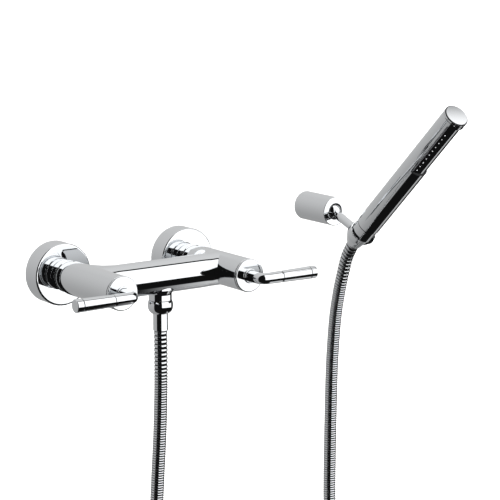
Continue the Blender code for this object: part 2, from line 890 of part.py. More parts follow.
def shower_hose():
    """The free hose, from the lower ferrule down through its loop and up into the cone nut."""
    first = Vector((0.0, -BAR_FROM_WALL, -(FERRULE_DROP + GAP)))
    last = handset_point(CONE_NUT_END - GAP)
    mouth = handset_point(CONE_NUT_END - GAP - HOSE_STRAIGHT)
    curve = smooth_curve([first, *HOSE_ROUTE, mouth, last])
    route = spaced(curve, HOSE_STEP, HOSE_FINE_STEP, HOSE_FINE_COUNT, HOSE_STRAIGHT)
    tube = bpy.data.curves.new("shower_hose", "CURVE")
    tube.dimensions = "3D"
    tube.bevel_depth = HOSE_DIAMETER / 2
    tube.bevel_resolution = 2
    tube.use_fill_caps = True
    spline = tube.splines.new("POLY")
    spline.points.add(len(route) - 1)
    for point, place in zip(spline.points, route):
        point.co = (*place, 1.0)
    tube.materials.append(material(HOSE_STEEL))
    PARTS.objects.link(bpy.data.objects.new("shower_hose", tube))


# ---------------------------------------------------------------------------------------------- bracket
def seat_radius(along):
    """The ball socket's radius at that distance from the wall."""
    return math.sqrt(BALL_SEAT_RADIUS**2 - (along - BALL_FROM_WALL) ** 2)


def bracket():
    """The wall base, its screw and plug, the sleeve over it and the ball's seat."""
    head_room = PLATE_THICK + 0.0040
    turned(
        "bracket_base",
        [
            (POST_RADIUS, POST_LENGTH),
            (POST_RADIUS, PLATE_THICK),
            (SLEEVE_RADIUS - SLEEVE_WALL - GAP, PLATE_THICK),
            (SLEEVE_RADIUS - SLEEVE_WALL - GAP, 0.0),
            (WALL_PLUG_RADIUS + SLIDE_GAP, 0.0),
            (WALL_PLUG_RADIUS + SLIDE_GAP, PLATE_THICK / 2),
            (WALL_SCREW_RADIUS + SLIDE_GAP, PLATE_THICK / 2),
            (WALL_SCREW_RADIUS + SLIDE_GAP, head_room),
            (2 * WALL_SCREW_RADIUS + SLIDE_GAP, head_room),
            (2 * WALL_SCREW_RADIUS + SLIDE_GAP, POST_LENGTH),
        ],
        BRASS,
        BRACKET_FRAME,
        16,
    )
    turned(
        "bracket_screw",
        [
            (0.0, head_room + 0.0031),
            (2 * WALL_SCREW_RADIUS - 0.0010, head_room + 0.0031),
            (2 * WALL_SCREW_RADIUS, head_room + GAP),
            (WALL_SCREW_RADIUS, head_room + GAP),
            (WALL_SCREW_RADIUS, 0.0030 - WALL_SCREW_DEPTH),
            (0.0, -WALL_SCREW_DEPTH),
        ],
        STEEL,
        BRACKET_FRAME,
        COARSE,
        closed=False,
    )
    ring(
        "wall_plug",
        WALL_SCREW_RADIUS + GAP,
        WALL_PLUG_RADIUS,
        -WALL_PLUG_DEPTH,
        -0.0005,
        NYLON,
        BRACKET_FRAME,
    )
    inner = SLEEVE_RADIUS - SLEEVE_WALL
    throat = BALL_FROM_WALL - 0.0105
    turned(
        "bracket_sleeve",
        [
            (seat_radius(SLEEVE_LENGTH), SLEEVE_LENGTH),
            (SLEEVE_RADIUS - HANDLE_EDGE, SLEEVE_LENGTH),
            (SLEEVE_RADIUS, SLEEVE_LENGTH - HANDLE_EDGE),
            (SLEEVE_RADIUS, 0.0),
            (inner, 0.0),
            (inner, throat),
            (BALL_SEAT_RADIUS, throat),
            (BALL_SEAT_RADIUS, BALL_FROM_WALL),
            (seat_radius(BALL_FROM_WALL + 0.0028), BALL_FROM_WALL + 0.0028),
        ],
        CHROME,
        BRACKET_FRAME,
        FINE,
    )
    seat_back = POST_LENGTH + GAP
    seat_front = seat_back + SEAT_DEPTH
    middle = BALL_FROM_WALL - 0.0070
    inner_hole = 0.0030
    inner_edge = BALL_FROM_WALL - math.sqrt(BALL_SEAT_RADIUS**2 - inner_hole**2)
    turned(
        "ball_seat",
        [
            (seat_radius(seat_front), seat_front),
            (BALL_SEAT_RADIUS - GAP, seat_front),
            (BALL_SEAT_RADIUS - GAP, seat_back),
            (inner_hole, seat_back),
            (inner_hole, inner_edge),
            (seat_radius(middle), middle),
        ],
        NYLON,
        BRACKET_FRAME,
        16,
    )


def ball_outline(reach):
    """The ball stud and arm, from the arm's end down to the back of the ball."""
    neck = math.asin(ARM_NECK_RADIUS / BALL_RADIUS)
    arc = []
    for i in range(9):
        angle = neck + (math.pi - neck) * i / 8
        arc.append((BALL_RADIUS * math.sin(angle), BALL_RADIUS * math.cos(angle)))
    arc[-1] = (0.0, -BALL_RADIUS)
    return [
        (0.0, reach),
        (ARM_RADIUS, reach),
        (ARM_RADIUS, BALL_RADIUS + 0.0040),
        (ARM_NECK_RADIUS, BALL_RADIUS + 0.0025),
    ] + arc


def cone_radius(along):
    """The cone nut's outer radius at that distance along the handset's axis."""
    if along >= CONE_NUT_STRAIGHT:
        return CONE_NUT_RADIUS
    share = (CONE_SHOULDER - along) / (CONE_SHOULDER - CONE_NUT_END)
    return CONE_SHOULDER_RADIUS + share * (CONE_NUT_END_RADIUS - CONE_SHOULDER_RADIUS)


def tilting_holder():
    """The ball, its arm and the slotted cone cup that the hose's nut drops into, in one piece."""
    to_axis = Vector((0.0, -HANDSET_OUT + BALL_FROM_WALL, HANDSET_UP - BRACKET_Z))
    arm = Vector((0.0, -math.cos(ARM_DROP_ANGLE), -math.sin(ARM_DROP_ANGLE)))
    reach = to_axis.dot(arm) + 0.0010
    holder = turned(
        "tilting_holder",
        ball_outline(reach),
        CHROME,
        BALL_FRAME,
        16,
        closed=False,
    )
    cup = turned(
        "cup_blank",
        [
            (0.0, HOLDER_TOP),
            (CONE_NUT_RADIUS + SLIDE_GAP + HOLDER_WALL, HOLDER_TOP),
            (CONE_NUT_RADIUS + SLIDE_GAP + HOLDER_WALL, CONE_NUT_STRAIGHT),
            (cone_radius(HOLDER_END) + SLIDE_GAP + HOLDER_WALL / 2, HOLDER_END),
            (0.0, HOLDER_END),
        ],
        None,
        HANDSET_FRAME,
        FINE,
        closed=False,
    )
    combine(holder, cup, "UNION")
    beyond = 0.006
    hollow = turned(
        "cup_hollow",
        [
            (0.0, HOLDER_TOP + beyond),
            (CONE_NUT_RADIUS + SLIDE_GAP, HOLDER_TOP + beyond),
            (CONE_NUT_RADIUS + SLIDE_GAP, CONE_NUT_STRAIGHT),
            (CONE_SHOULDER_RADIUS + SLIDE_GAP, CONE_SHOULDER),
            (cone_radius(HOLDER_END - 0.001) + SLIDE_GAP, HOLDER_END - 0.001),
            (0.0, HOLDER_END - 0.001),
        ],
        None,
        HANDSET_FRAME,
        MEDIUM,
        closed=False,
    )
    combine(holder, hollow, "DIFFERENCE")
    flare = (HOLDER_MOUTH - HOLDER_SLOT) / (HOLDER_TOP - HOLDER_END) / 2
    low_half = HOLDER_SLOT / 2 - flare * beyond
    high_half = HOLDER_MOUTH / 2 + flare * beyond
    slot = block(
        "cup_slot",
        (-low_half, -0.030, HOLDER_END - beyond),
        (low_half, 0.0, HOLDER_TOP + beyond),
        None,
        HANDSET_FRAME,
    )
    for vertex in slot.data.vertices:
        if vertex.co.z > HOLDER_TOP:
            vertex.co.x *= high_half / low_half
    combine(holder, slot, "DIFFERENCE")


# ---------------------------------------------------------------------------------------------- handset
def hose_end():
    """The cone nut and what it clamps: the hose's insert, the washer and the handset's nipple."""
    parent = HANDSET_FRAME
    thread = OUTLET_THREAD_RADIUS + SLIDE_GAP
    insert = 0.0049
    floor = CONE_NUT_STRAIGHT - 0.0043
    flange_top = floor + GAP + FLANGE_OF_FERRULE
    washer_start = flange_top + GAP
    nipple_start = washer_start + WASHER_THICK + GAP
    turned(
        "cone_nut",
        [
            (CONE_NUT_RADIUS - 0.0004, CONE_NUT_TOP),
            (CONE_NUT_RADIUS, CONE_NUT_TOP - 0.0004),
            (CONE_NUT_RADIUS, CONE_NUT_STRAIGHT),
            (CONE_SHOULDER_RADIUS, CONE_SHOULDER),
            (CONE_NUT_END_RADIUS, CONE_NUT_END),
            (insert + GAP, CONE_NUT_END),
            (insert + GAP, floor),
            (thread, floor),
            (thread, CONE_NUT_TOP),
        ],
        CHROME,
        parent,
        MEDIUM,
    )
    turned(
        "hose_insert_upper",
        [
            (OUTLET_THREAD_RADIUS, flange_top),
            (OUTLET_THREAD_RADIUS, floor + GAP),
            (insert, floor + GAP),
            (insert, CONE_NUT_END + GAP),
            (insert - 0.0017, CONE_NUT_END + GAP),
            (insert - 0.0017, flange_top),
        ],
        BRASS,
        parent,
    )
    ring(
        "hose_washer_upper",
        insert,
        OUTLET_THREAD_RADIUS,
        washer_start,
        washer_start + WASHER_THICK,
        RUBBER,
        parent,
    )
    inside = HANDSET_RADIUS - HANDSET_WALL - GAP
    turned(
        "handset_nipple",
        [
            (inside, CONE_NUT_TOP + 0.0130),
            (inside, CONE_NUT_TOP + 0.0004),
            (OUTLET_THREAD_RADIUS, CONE_NUT_TOP + 0.0004),
            (OUTLET_THREAD_RADIUS, nipple_start),
            (0.0060, nipple_start),
            (0.0060, CONE_NUT_TOP + 0.0130),
        ],
        BRASS,
        parent,
    )


def nozzle_cell(bm, centre_x, centre_z, face, back):
    """One cell of the mat: its flat front round a tapered nozzle, and its back."""
    half_x, half_z = NOZZLE_COLUMN_PITCH / 2, NOZZLE_ROW_PITCH / 2
    base = NOZZLE_BASE / 2
    tip = base * NOZZLE_TIP_SHARE
    top = -(SPRAY_FLAT + NOZZLE_HEIGHT)
    squares = (
        (half_x, half_z, back),
        (half_x, half_z, face),
        (base, base, face),
        (tip, tip, top),
    )
    rows = []
    for wide, tall, level in squares:
        row = []
        for turn_x, turn_z in ((-1, -1), (1, -1), (1, 1), (-1, 1)):
            place = (centre_x + turn_x * wide, level, centre_z + turn_z * tall)
            row.append(bm.verts.new(place))
        rows.append(row)
    for one, two in zip(rows[1:], rows[2:]):
        for i in range(4):
            j = (i + 1) % 4
            bm.faces.new((one[i], one[j], two[j], two[i]))
    bm.faces.new(rows[3])
    bm.faces.new(reversed(rows[0]))
    return rows


def nozzle_mat():
    """A silicone mat with rows of nozzles, laid out cell by cell and closed round its rim."""
    face = -(SPRAY_FLAT - SPRAY_PLATE_THICK - 2 * GAP)
    back = face + MAT_THICK
    middle = SPRAY_START + NOZZLE_FIELD_START + NOZZLE_ROWS * NOZZLE_ROW_PITCH / 2
    last_column, last_row = NOZZLE_COLUMNS - 1, NOZZLE_ROWS - 1
    bm = bmesh.new()
    for i in range(NOZZLE_COLUMNS):
        for j in range(NOZZLE_ROWS):
            x = (i - last_column / 2) * NOZZLE_COLUMN_PITCH
            z = middle + (j - last_row / 2) * NOZZLE_ROW_PITCH
            rear, front = nozzle_cell(bm, x, z, face, back)[:2]
            on_rim = (j == 0, i == last_column, j == last_row, i == 0)
            for k, rim in enumerate(on_rim):
                if rim:
                    n = (k + 1) % 4
                    bm.faces.new((rear[k], rear[n], front[n], front[k]))
    bmesh.ops.remove_doubles(bm, verts=bm.verts, dist=0.00001)
    bmesh.ops.recalc_face_normals(bm, faces=bm.faces)
    mesh = bpy.data.meshes.new("nozzle_mat")
    bm.to_mesh(mesh)
    bm.free()
    return add("nozzle_mat", mesh, SILICONE, HANDSET_FRAME)


def handset():
    """The handset's tube, cap, inner waterway, spray body, nozzle mat and plate."""
    parent = HANDSET_FRAME
    inside = HANDSET_RADIUS - HANDSET_WALL
    tube_start = CONE_NUT_TOP + 0.0004
    tube_end = HANDSET_LENGTH - CAP_LENGTH - GAP
    shell = ring(
        "handset_tube",
        inside,
        HANDSET_RADIUS,
        tube_start,
        tube_end,
        CHROME,
        parent,
        FINE,
    )
    flat = block(
        "spray_cut",
        (-2 * HANDSET_RADIUS, -2 * HANDSET_RADIUS, SPRAY_START),
        (2 * HANDSET_RADIUS, -SPRAY_FLAT, SPRAY_END),
        None,
        parent,
    )
    combine(shell, flat, "DIFFERENCE")
    cap_back = tube_end + GAP
    plug = 0.0030
    turned(
        "handset_cap",
        [
            (0.0, HANDSET_LENGTH),
            (HANDSET_RADIUS - HANDLE_EDGE, HANDSET_LENGTH),
            (HANDSET_RADIUS, HANDSET_LENGTH - HANDLE_EDGE),
            (HANDSET_RADIUS, cap_back),
            (inside - GAP, cap_back),
            (inside - GAP, cap_back - plug),
            (0.0, cap_back - plug),
        ],
        CHROME,
        parent,
        FINE,
        closed=False,
    )
    waterway_start = CONE_NUT_TOP + 0.0130 + GAP
    body_start = SPRAY_START - 0.0046
    body_end = cap_back - plug - GAP
    ring(
        "waterway_tube",
        WATERWAY_RADIUS - WATERWAY_WALL,
        WATERWAY_RADIUS,
        waterway_start,
        body_start - GAP,
        NYLON,
        parent,
    )
    mat_back = SPRAY_FLAT - SPRAY_PLATE_THICK - 2 * GAP - MAT_THICK
    body = rod("spray_body", inside - GAP, body_start, body_end, NYLON, parent, 16)
    front = block(
        "spray_body_front",
        (-2 * inside, -2 * inside, body_start - 0.01),
        (2 * inside, -(mat_back - GAP), body_end + 0.01),
        None,
        parent,
    )
    chamber = block(
        "spray_chamber",
        (-0.0066, -2 * inside, SPRAY_START),
        (0.0066, 0.0060, SPRAY_END - 0.0040),
        None,
        parent,
    )
    inlet = rod(
        "spray_inlet",
        WATERWAY_RADIUS - WATERWAY_WALL - 0.0020,
        body_start - 0.01,
        SPRAY_START + 0.002,
        None,
        parent,
    )
    for cutter in (front, chamber, inlet):
        combine(body, cutter, "DIFFERENCE")
    nozzle_mat()
    plate_front = SPRAY_FLAT - 0.0001
    half_width = math.sqrt((inside - GAP) ** 2 - plate_front**2)
    half_width -= GAP
    plate = block(
        "spray_plate",
        (-half_width, -plate_front, SPRAY_START + GAP),
        (half_width, -plate_front + SPRAY_PLATE_THICK, SPRAY_END - GAP),
        GREY_PLASTIC,
        parent,
    )
    window_x = NOZZLE_COLUMNS * NOZZLE_COLUMN_PITCH / 2 - 0.0004
    window_z = NOZZLE_ROWS * NOZZLE_ROW_PITCH / 2 - 0.0008
    middle = SPRAY_START + NOZZLE_FIELD_START + NOZZLE_ROWS * NOZZLE_ROW_PITCH / 2
    window = block(
        "spray_window",
        (-window_x, -2 * inside, middle - window_z),
        (window_x, 0.0, middle + window_z),
        None,
        parent,
    )
    combine(plate, window, "DIFFERENCE")


def build():
    """Makes every piece."""
    for side in SIDE_SIGN:
        wall_inlet(side)
        spindle_top = cartridge(side)
        handle(side, spindle_top)
    mixer_body()
    outlet()
    shower_hose()
    bracket()
    tilting_holder()
    hose_end()
    handset()
    bpy.context.view_layer.update()


build()
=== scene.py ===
"""The looks of a wall mounted bath mixer with its hose, stick handset and tilting holder.

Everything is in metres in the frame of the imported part: +X along the wall to the right, +Y into the
wall, +Z up, and the origin on the wall midway between the two inlets.
"""

import json
import logging
import math
from collections.abc import Sequence
from dataclasses import dataclass, field
from enum import Enum

import bpy
import numpy as np
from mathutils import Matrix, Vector


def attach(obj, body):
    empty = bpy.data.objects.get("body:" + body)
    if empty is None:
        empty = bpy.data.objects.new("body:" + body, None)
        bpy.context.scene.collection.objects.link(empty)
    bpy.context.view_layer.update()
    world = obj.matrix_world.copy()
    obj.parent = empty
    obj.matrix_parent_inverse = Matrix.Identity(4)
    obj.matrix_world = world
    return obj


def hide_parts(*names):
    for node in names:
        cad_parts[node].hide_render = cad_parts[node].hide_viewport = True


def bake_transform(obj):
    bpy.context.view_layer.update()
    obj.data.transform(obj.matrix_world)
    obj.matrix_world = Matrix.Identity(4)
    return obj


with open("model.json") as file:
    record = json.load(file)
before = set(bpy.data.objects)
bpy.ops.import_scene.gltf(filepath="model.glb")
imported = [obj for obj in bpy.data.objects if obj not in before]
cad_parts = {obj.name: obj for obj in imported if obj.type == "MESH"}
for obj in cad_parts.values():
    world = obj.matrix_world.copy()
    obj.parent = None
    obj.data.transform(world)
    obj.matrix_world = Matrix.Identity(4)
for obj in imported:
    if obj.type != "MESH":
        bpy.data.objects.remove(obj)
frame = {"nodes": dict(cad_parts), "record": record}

LOG = logging.getLogger("bath_mixer")
MM = 0.001
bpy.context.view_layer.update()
SHARP_ANGLE = math.radians(32)

Point = tuple[float, float, float]
Corner = tuple[float, float, float]
Faces = list[tuple[int, ...]]


# ------------------------------------------------------------------------------------------- surfaces
@dataclass(frozen=True)
class Axis:
    """The line that a turned piece stands on, with a direction across it.

    Attributes:
        origin: where the distance along the line is nothing.
        along: unit direction of the line.
        across: unit direction from which angles round the line are counted.
    """

    origin: Point
    along: Point
    across: Point

    def place(self, radius: np.ndarray, along: np.ndarray, angle: np.ndarray) -> np.ndarray:
        """Points at a radius, a distance along the line and an angle round it.

        The point is origin + along * distance + radius * (cos(angle) * across + sin(angle) * side),
        where side is along x across.

        Args:
            radius: distances from the line.
            along: distances along the line.
            angle: angles in radians.

        Returns:
            The points, with the shape of the arguments and three numbers each.
        """
        line, across = np.array(self.along), np.array(self.across)
        side = np.cross(line, across)
        ring = np.cos(angle)[..., None] * across + np.sin(angle)[..., None] * side
        return np.array(self.origin) + along[..., None] * line + radius[..., None] * ring

    def point(self, x: float, y: float, z: float) -> np.ndarray:
        """The point x across, y to the side and z along the line."""
        line, across = np.array(self.along), np.array(self.across)
        return np.array(self.origin) + x * across + y * np.cross(line, across) + z * line


@dataclass
class Surface:
    """The points and faces of a closed mesh.

    Attributes:
        points: one row of three numbers for each vertex.
        faces: the vertices of each face.
    """

    points: np.ndarray
    faces: Faces

    def volume(self) -> float:
        """The signed volume, a sum of the tetrahedra from the origin to each face's triangles."""
        total = 0.0
        by_size: dict[int, list[tuple[int, ...]]] = {}
        for face in self.faces:
            by_size.setdefault(len(face), []).append(face)
        for size, same in by_size.items():
            corners = self.points[np.array(same)]
            for i in range(1, size - 1):
                cross = np.cross(corners[:, i], corners[:, i + 1])
                total += float(np.einsum("ij,ij->", corners[:, 0], cross)) / 6
        return total

    def outward(self) -> "Surface":
        """The same surface with its faces pointing outwards."""
        if self.volume() < 0:
            return Surface(self.points, [face[::-1] for face in self.faces])
        return self


def joined(surfaces: Sequence[Surface]) -> Surface:
    """Several closed surfaces as one, each pointing outwards.

    Args:
        surfaces: the surfaces, which keep their places.

    Returns:
        One surface with all their points and faces.
    """
    points, faces, start = [], [], 0
    for surface in surfaces:
        turned_out = surface.outward()
        points.append(turned_out.points)
        faces += [tuple(i + start for i in face) for face in turned_out.faces]
        start += len(turned_out.points)
    return Surface(np.concatenate(points), faces)


def rounded(corners: Sequence[Corner], closed: bool, steps: int = 5) -> np.ndarray:
    """An outline with an arc at each corner.

    Each arc touches both sides of its corner: it starts fillet / tan(half the corner's angle) before
    the corner and ends as far after it. One more point stands a little outside each end of the arc, so
    that the shade of the flat sides stays flat right up to it.

    Args:
        corners: (radius, distance along the axis, fillet) in millimetres.
        closed: whether the last corner joins the first.
        steps: how many pieces an arc has.

    Returns:
        (radius, distance along the axis) rows in metres.
    """
    count = len(corners)
    out: list[np.ndarray] = []
    for i, (radius, along, fillet) in enumerate(corners):
        here = np.array((radius, along))
        if fillet <= 0 or (not closed and i in (0, count - 1)):
            out.append(here)
            continue
        before = np.array(corners[i - 1][:2]) - here
        after = np.array(corners[(i + 1) % count][:2]) - here
        room = min(np.linalg.norm(before), np.linalg.norm(after)) * 0.46
        before = before / np.linalg.norm(before)
        after = after / np.linalg.norm(after)
        half = math.acos(max(-1.0, min(1.0, float(before @ after)))) / 2
        reach = min(fillet / math.tan(half), room)
        bisector = (before + after) / np.linalg.norm(before + after)
        centre = here + bisector * reach / math.cos(half)
        first, last = here + before * reach - centre, here + after * reach - centre
        out.append(centre + first + before * min(0.08, reach / 4))
        turn = math.pi - 2 * half
        for k in range(steps + 1):
            share = k / steps
            mix = math.sin((1 - share) * turn) * first + math.sin(share * turn) * last
            out.append(centre + mix / math.sin(turn))
        out.append(centre + last + after * min(0.08, reach / 4))
    return np.array(out) * MM


def turned(outline: np.ndarray, axis: Axis, closed: bool, around: int = 96) -> Surface:
    """A surface of revolution: the outline carried round the axis.

    Args:
        outline: (radius, distance along the axis) rows, in metres.
        axis: the line it is turned on.
        closed: whether the outline's last row joins its first; if not, both lie on the axis.
        around: how many steps a full turn has.

    Returns:
        The closed surface.
    """
    angles = np.linspace(0, 2 * math.pi, around, endpoint=False)
    inner = outline if closed else outline[1:-1]
    rows = len(inner)
    grid = axis.place(
        np.repeat(inner[:, :1], around, 1), np.repeat(inner[:, 1:], around, 1), np.tile(angles, (rows, 1))
    )
    points = grid.reshape(-1, 3)
    index = np.arange(rows * around).reshape(rows, around)
    following = np.roll(index, -1, axis=1)
    one = index if closed else index[:-1]
    two = np.roll(index, -1, axis=0) if closed else index[1:]
    one_next = following if closed else following[:-1]
    two_next = np.roll(following, -1, axis=0) if closed else following[1:]
    quads = np.stack([one, one_next, two_next, two], -1).reshape(-1, 4)
    faces: Faces = [tuple(q) for q in quads.tolist()]
    if not closed:
        ends = axis.place(np.zeros(2), outline[[0, -1], 1], np.zeros(2))
        points = np.concatenate([points, ends])
        first, last = rows * around, rows * around + 1
        faces += [(first, b, a) for a, b in zip(index[0].tolist(), following[0].tolist())]
        faces += [(last, a, b) for a, b in zip(index[-1].tolist(), following[-1].tolist())]
    return Surface(points, faces).outward()


def ring_grid(grid: np.ndarray) -> Surface:
    """Joins rows of points into a closed ring that is also closed from its last row to its first.

    Args:
        grid: the points, as rows by points round a row by 3.

    Returns:
        The closed surface, facing outwards.
    """
    rows, around = grid.shape[:2]
    index = np.arange(rows * around).reshape(rows, around)
    following, below = np.roll(index, -1, axis=1), np.roll(index, -1, axis=0)
    quads = np.stack([index, following, np.roll(below, -1, axis=1), below], -1).reshape(-1, 4)
    return Surface(grid.reshape(-1, 3), [tuple(q) for q in quads.tolist()]).outward()


def path_frames(path: np.ndarray) -> tuple[np.ndarray, np.ndarray]:
    """Two directions across a path at each of its points, carried along it without twist.

    Each direction is the one before it, less its share along the new tangent, made unit length.

    Args:
        path: the points of the path, one row each.

    Returns:
        The two directions across it, one row for each point.
    """
    tangent = np.gradient(path, axis=0)
    tangent /= np.linalg.norm(tangent, axis=1)[:, None]
    start = np.cross(tangent[0], (1.0, 0.3, 0.2))
    side = np.empty_like(path)
    side[0] = start / np.linalg.norm(start)
    for i in range(1, len(path)):
        carried = side[i - 1] - (side[i - 1] @ tangent[i]) * tangent[i]
        side[i] = carried / np.linalg.norm(carried)
    return side, np.cross(tangent, side)


def swept(path: np.ndarray, radii: np.ndarray, around: int = 64) -> Surface:
    """A round bar along a path, closed by a flat cap at each end.

    A point is path + radius * (cos(angle) * side + sin(angle) * other), with the path's own two
    directions across it.

    Args:
        path: the points of its middle line, one row each.
        radii: its radius at each of them.
        around: how many steps a full turn has.

    Returns:
        The closed surface.
    """
    side, other = path_frames(path)
    angles = np.linspace(0, 2 * math.pi, around, endpoint=False)
    ring = np.cos(angles)[None, :, None] * side[:, None] + np.sin(angles)[None, :, None] * other[:, None]
    grid = path[:, None] + radii[:, None, None] * ring
    rows = len(path)
    index = np.arange(rows * around).reshape(rows, around)
    following = np.roll(index, -1, axis=1)
    quads = np.stack([index[:-1], following[:-1], following[1:], index[1:]], -1).reshape(-1, 4)
    faces: Faces = [tuple(q) for q in quads.tolist()]
    faces += [tuple(index[0, ::-1].tolist()), tuple(index[-1].tolist())]
    return Surface(grid.reshape(-1, 3), faces).outward()


def box(axis: Axis, low: Point, high: Point) -> Surface:
    """A cutting block between two corners, given across, to the side and along an axis."""
    corners = [
        axis.point(x, y, z)
        for x in (low[0], high[0])
        for y in (low[1], high[1])
        for z in (low[2], high[2])
    ]
    faces: Faces = [(0, 1, 3, 2), (4, 6, 7, 5), (0, 4, 5, 1), (2, 3, 7, 6), (0, 2, 6, 4), (1, 5, 7, 3)]
    return Surface(np.array(corners), faces).outward()


def smooth_curve(points: Sequence[Sequence[float]], steps: int = 24) -> np.ndarray:
    """Close points along a Catmull-Rom curve, a cubic through every given point.

    Args:
        points: the given points.
        steps: how many pieces each stretch between two of them has.

    Returns:
        The curve's points, one row each.
    """
    given = np.array(points, float)
    ends = np.vstack([2 * given[0] - given[1], given, 2 * given[-1] - given[-2]])
    a, b, c, d = (ends[i : len(ends) - 3 + i, None] for i in range(4))
    t = (np.arange(steps) / steps)[None, :, None]
    bow = (2 * a - 5 * b + 4 * c - d) * t**2
    twist = (3 * b - a - 3 * c + d) * t**3
    curve = ((2 * b + (c - a) * t + bow + twist) / 2).reshape(-1, 3)
    return np.vstack([curve, given[-1]])


def evenly(curve: np.ndarray, places: np.ndarray) -> np.ndarray:
    """The curve's points at the given shares of its length, from 0 to 1."""
    lengths = np.concatenate([[0], np.cumsum(np.linalg.norm(np.diff(curve, axis=0), axis=1))])
    wanted = places * lengths[-1]
    return np.stack([np.interp(wanted, lengths, curve[:, k]) for k in range(3)], -1)


# ------------------------------------------------------------------------------------------ materials
def linear(hex_color: str) -> tuple[float, float, float, float]:
    """An sRGB hex colour as linear red, green, blue and alpha.

    Args:
        hex_color: six hex digits.

    Returns:
        The linear colour, opaque.
    """
    parts = [int(hex_color[i : i + 2], 16) / 255 for i in (0, 2, 4)]
    red, green, blue = (p / 12.92 if p <= 0.04045 else ((p + 0.055) / 1.055) ** 2.4 for p in parts)
    return red, green, blue, 1.0


def add_node(
    tree: bpy.types.NodeTree, kind: str, settings: dict | None = None, links: dict | None = None
) -> bpy.types.Node:
    """Adds a node to a tree.

    Args:
        tree: the node tree.
        kind: the node's type name.
        settings: attributes, and values of input sockets by name or number.
        links: the output socket that feeds each input, by the input's name or number.

    Returns:
        The node.
    """
    made = tree.nodes.new(kind)
    for key, value in (settings or {}).items():
        if isinstance(key, int) or key in made.inputs:
            made.inputs[key].default_value = value
        else:
            setattr(made, key, value)
    for key, source in (links or {}).items():
        tree.links.new(source, made.inputs[key])
    return made


class Make(Enum):
    """How a surface was made, which sets its fine relief."""

    POLISHED = "polished"
    TURNED = "turned"
    MOULDED = "moulded"
    LAPPED = "lapped"


@dataclass(frozen=True)
class Finish:
    """A material, from what it is and how its surface was made.

    Attributes:
        name: the material's plain name and process.
        slot: the record's material slot.
        color: sRGB hex colour.
        make: how its surface was made.
        metallic: 1 for metal.
        roughness: lowest and highest roughness over the surface.
        grain: size of its relief in metres.
        relief: depth of its relief in metres.
        clear: how much light it lets through.
    """

    name: str
    slot: str
    color: str
    make: Make
    metallic: float
    roughness: tuple[float, float]
    grain: float
    relief: float
    clear: float = 0.0

    def build(self) -> bpy.types.Material:
        """The material, made once.

        A slow noise moves the roughness between its two limits, as handling and polishing do. A finer
        pattern gives the relief: tool rings on turned brass, pebbles on moulded plastic, and next to
        nothing on plated or lapped surfaces.

        Returns:
            The Blender material.
        """
        found = bpy.data.materials.get(self.name)
        if found:
            return found
        made = bpy.data.materials.new(self.name)
        made.use_nodes = True
        tree = made.node_tree
        shader = tree.nodes["Principled BSDF"]
        shader.inputs["Base Color"].default_value = linear(self.color)
        shader.inputs["Metallic"].default_value = self.metallic
        shader.inputs["Transmission Weight"].default_value = self.clear
        where = add_node(tree, "ShaderNodeTexCoord").outputs["Object"]
        haze = add_node(
            tree, "ShaderNodeTexNoise", {"Scale": 1 / 0.045, "Detail": 3.0}, {"Vector": where}
        )
        spread = {"To Min": self.roughness[0], "To Max": self.roughness[1], "From Min": 0.3, "From Max": 0.7}
        rough = add_node(tree, "ShaderNodeMapRange", spread, {"Value": haze.outputs["Fac"]})
        tree.links.new(rough.outputs["Result"], shader.inputs["Roughness"])
        if self.make is Make.TURNED:
            scale = 0.05 / self.grain
            rings = {"wave_type": "BANDS", "bands_direction": "Y", "Scale": scale, "Distortion": 0.3}
            pattern = add_node(tree, "ShaderNodeTexWave", rings, {"Vector": where})
        else:
            pattern = add_node(
                tree, "ShaderNodeTexNoise", {"Scale": 1 / self.grain, "Detail": 2.0}, {"Vector": where}
            )
        depth = {"Strength": 1.0, "Distance": self.relief}
        bump = add_node(tree, "ShaderNodeBump", depth, {"Height": pattern.outputs["Fac"]})
        tree.links.new(bump.outputs["Normal"], shader.inputs["Normal"])
        return made


# Chrome plate over polished brass is a clean mirror, very slightly wavy from hand polishing.
CHROME = Finish("chrome_plated_brass", "chrome", "EDEFF1", Make.POLISHED, 1.0, (0.015, 0.035), 0.020, 2e-7)
# Machined brass left bare where it is hidden: warm, with fine tool rings.
BRASS = Finish("turned_brass", "brass", "D2B26A", Make.TURNED, 1.0, (0.22, 0.34), 0.0004, 4e-6)
# Stainless screws come rolled and lightly pickled, so they are greyer and duller than the plate.
STEEL = Finish("rolled_stainless_steel", "steel", "C0C0C0", Make.TURNED, 1.0, (0.25, 0.36), 0.0005, 3e-6)
# Nitrile sealing rubber is a deep matt black.
RUBBER = Finish("moulded_nitrile_rubber", "rubber", "1A1A1B", Make.MOULDED, 0.0, (0.6, 0.8), 0.0006, 5e-6)
# Alumina discs are lapped flat and look like white porcelain.
CERAMIC = Finish("lapped_alumina", "ceramic", "F0EFEA", Make.LAPPED, 0.0, (0.10, 0.18), 0.003, 2e-7)
# Painted shade: a near black finish for the faces in joints, gaps and grooves, where shade falls.
JOINT = Finish("unplated_brass_in_joints", "chrome", "0D0D0E", Make.TURNED, 0.0, (0.5, 0.7), 0.0005, 2e-6)
# The spray face is grey ABS with the soft sheen of a spark eroded mould.
GREY_ABS = Finish("moulded_grey_abs", "grey_plastic", "4A4A4D", Make.MOULDED, 0.0, (0.28, 0.40), 0.0005, 6e-6)
# Glass filled nylon is off white and matt.
NYLON = Finish("moulded_nylon", "nylon", "D6D5CF", Make.MOULDED, 0.0, (0.45, 0.6), 0.0007, 8e-6)
# Silicone nozzles pass light, so they look milky and bright against the grey.
SILICONE = Finish(
    "moulded_silicone", "silicone", "F4F6F8", Make.MOULDED, 0.0, (0.18, 0.30), 0.002, 2e-6, 0.25
)
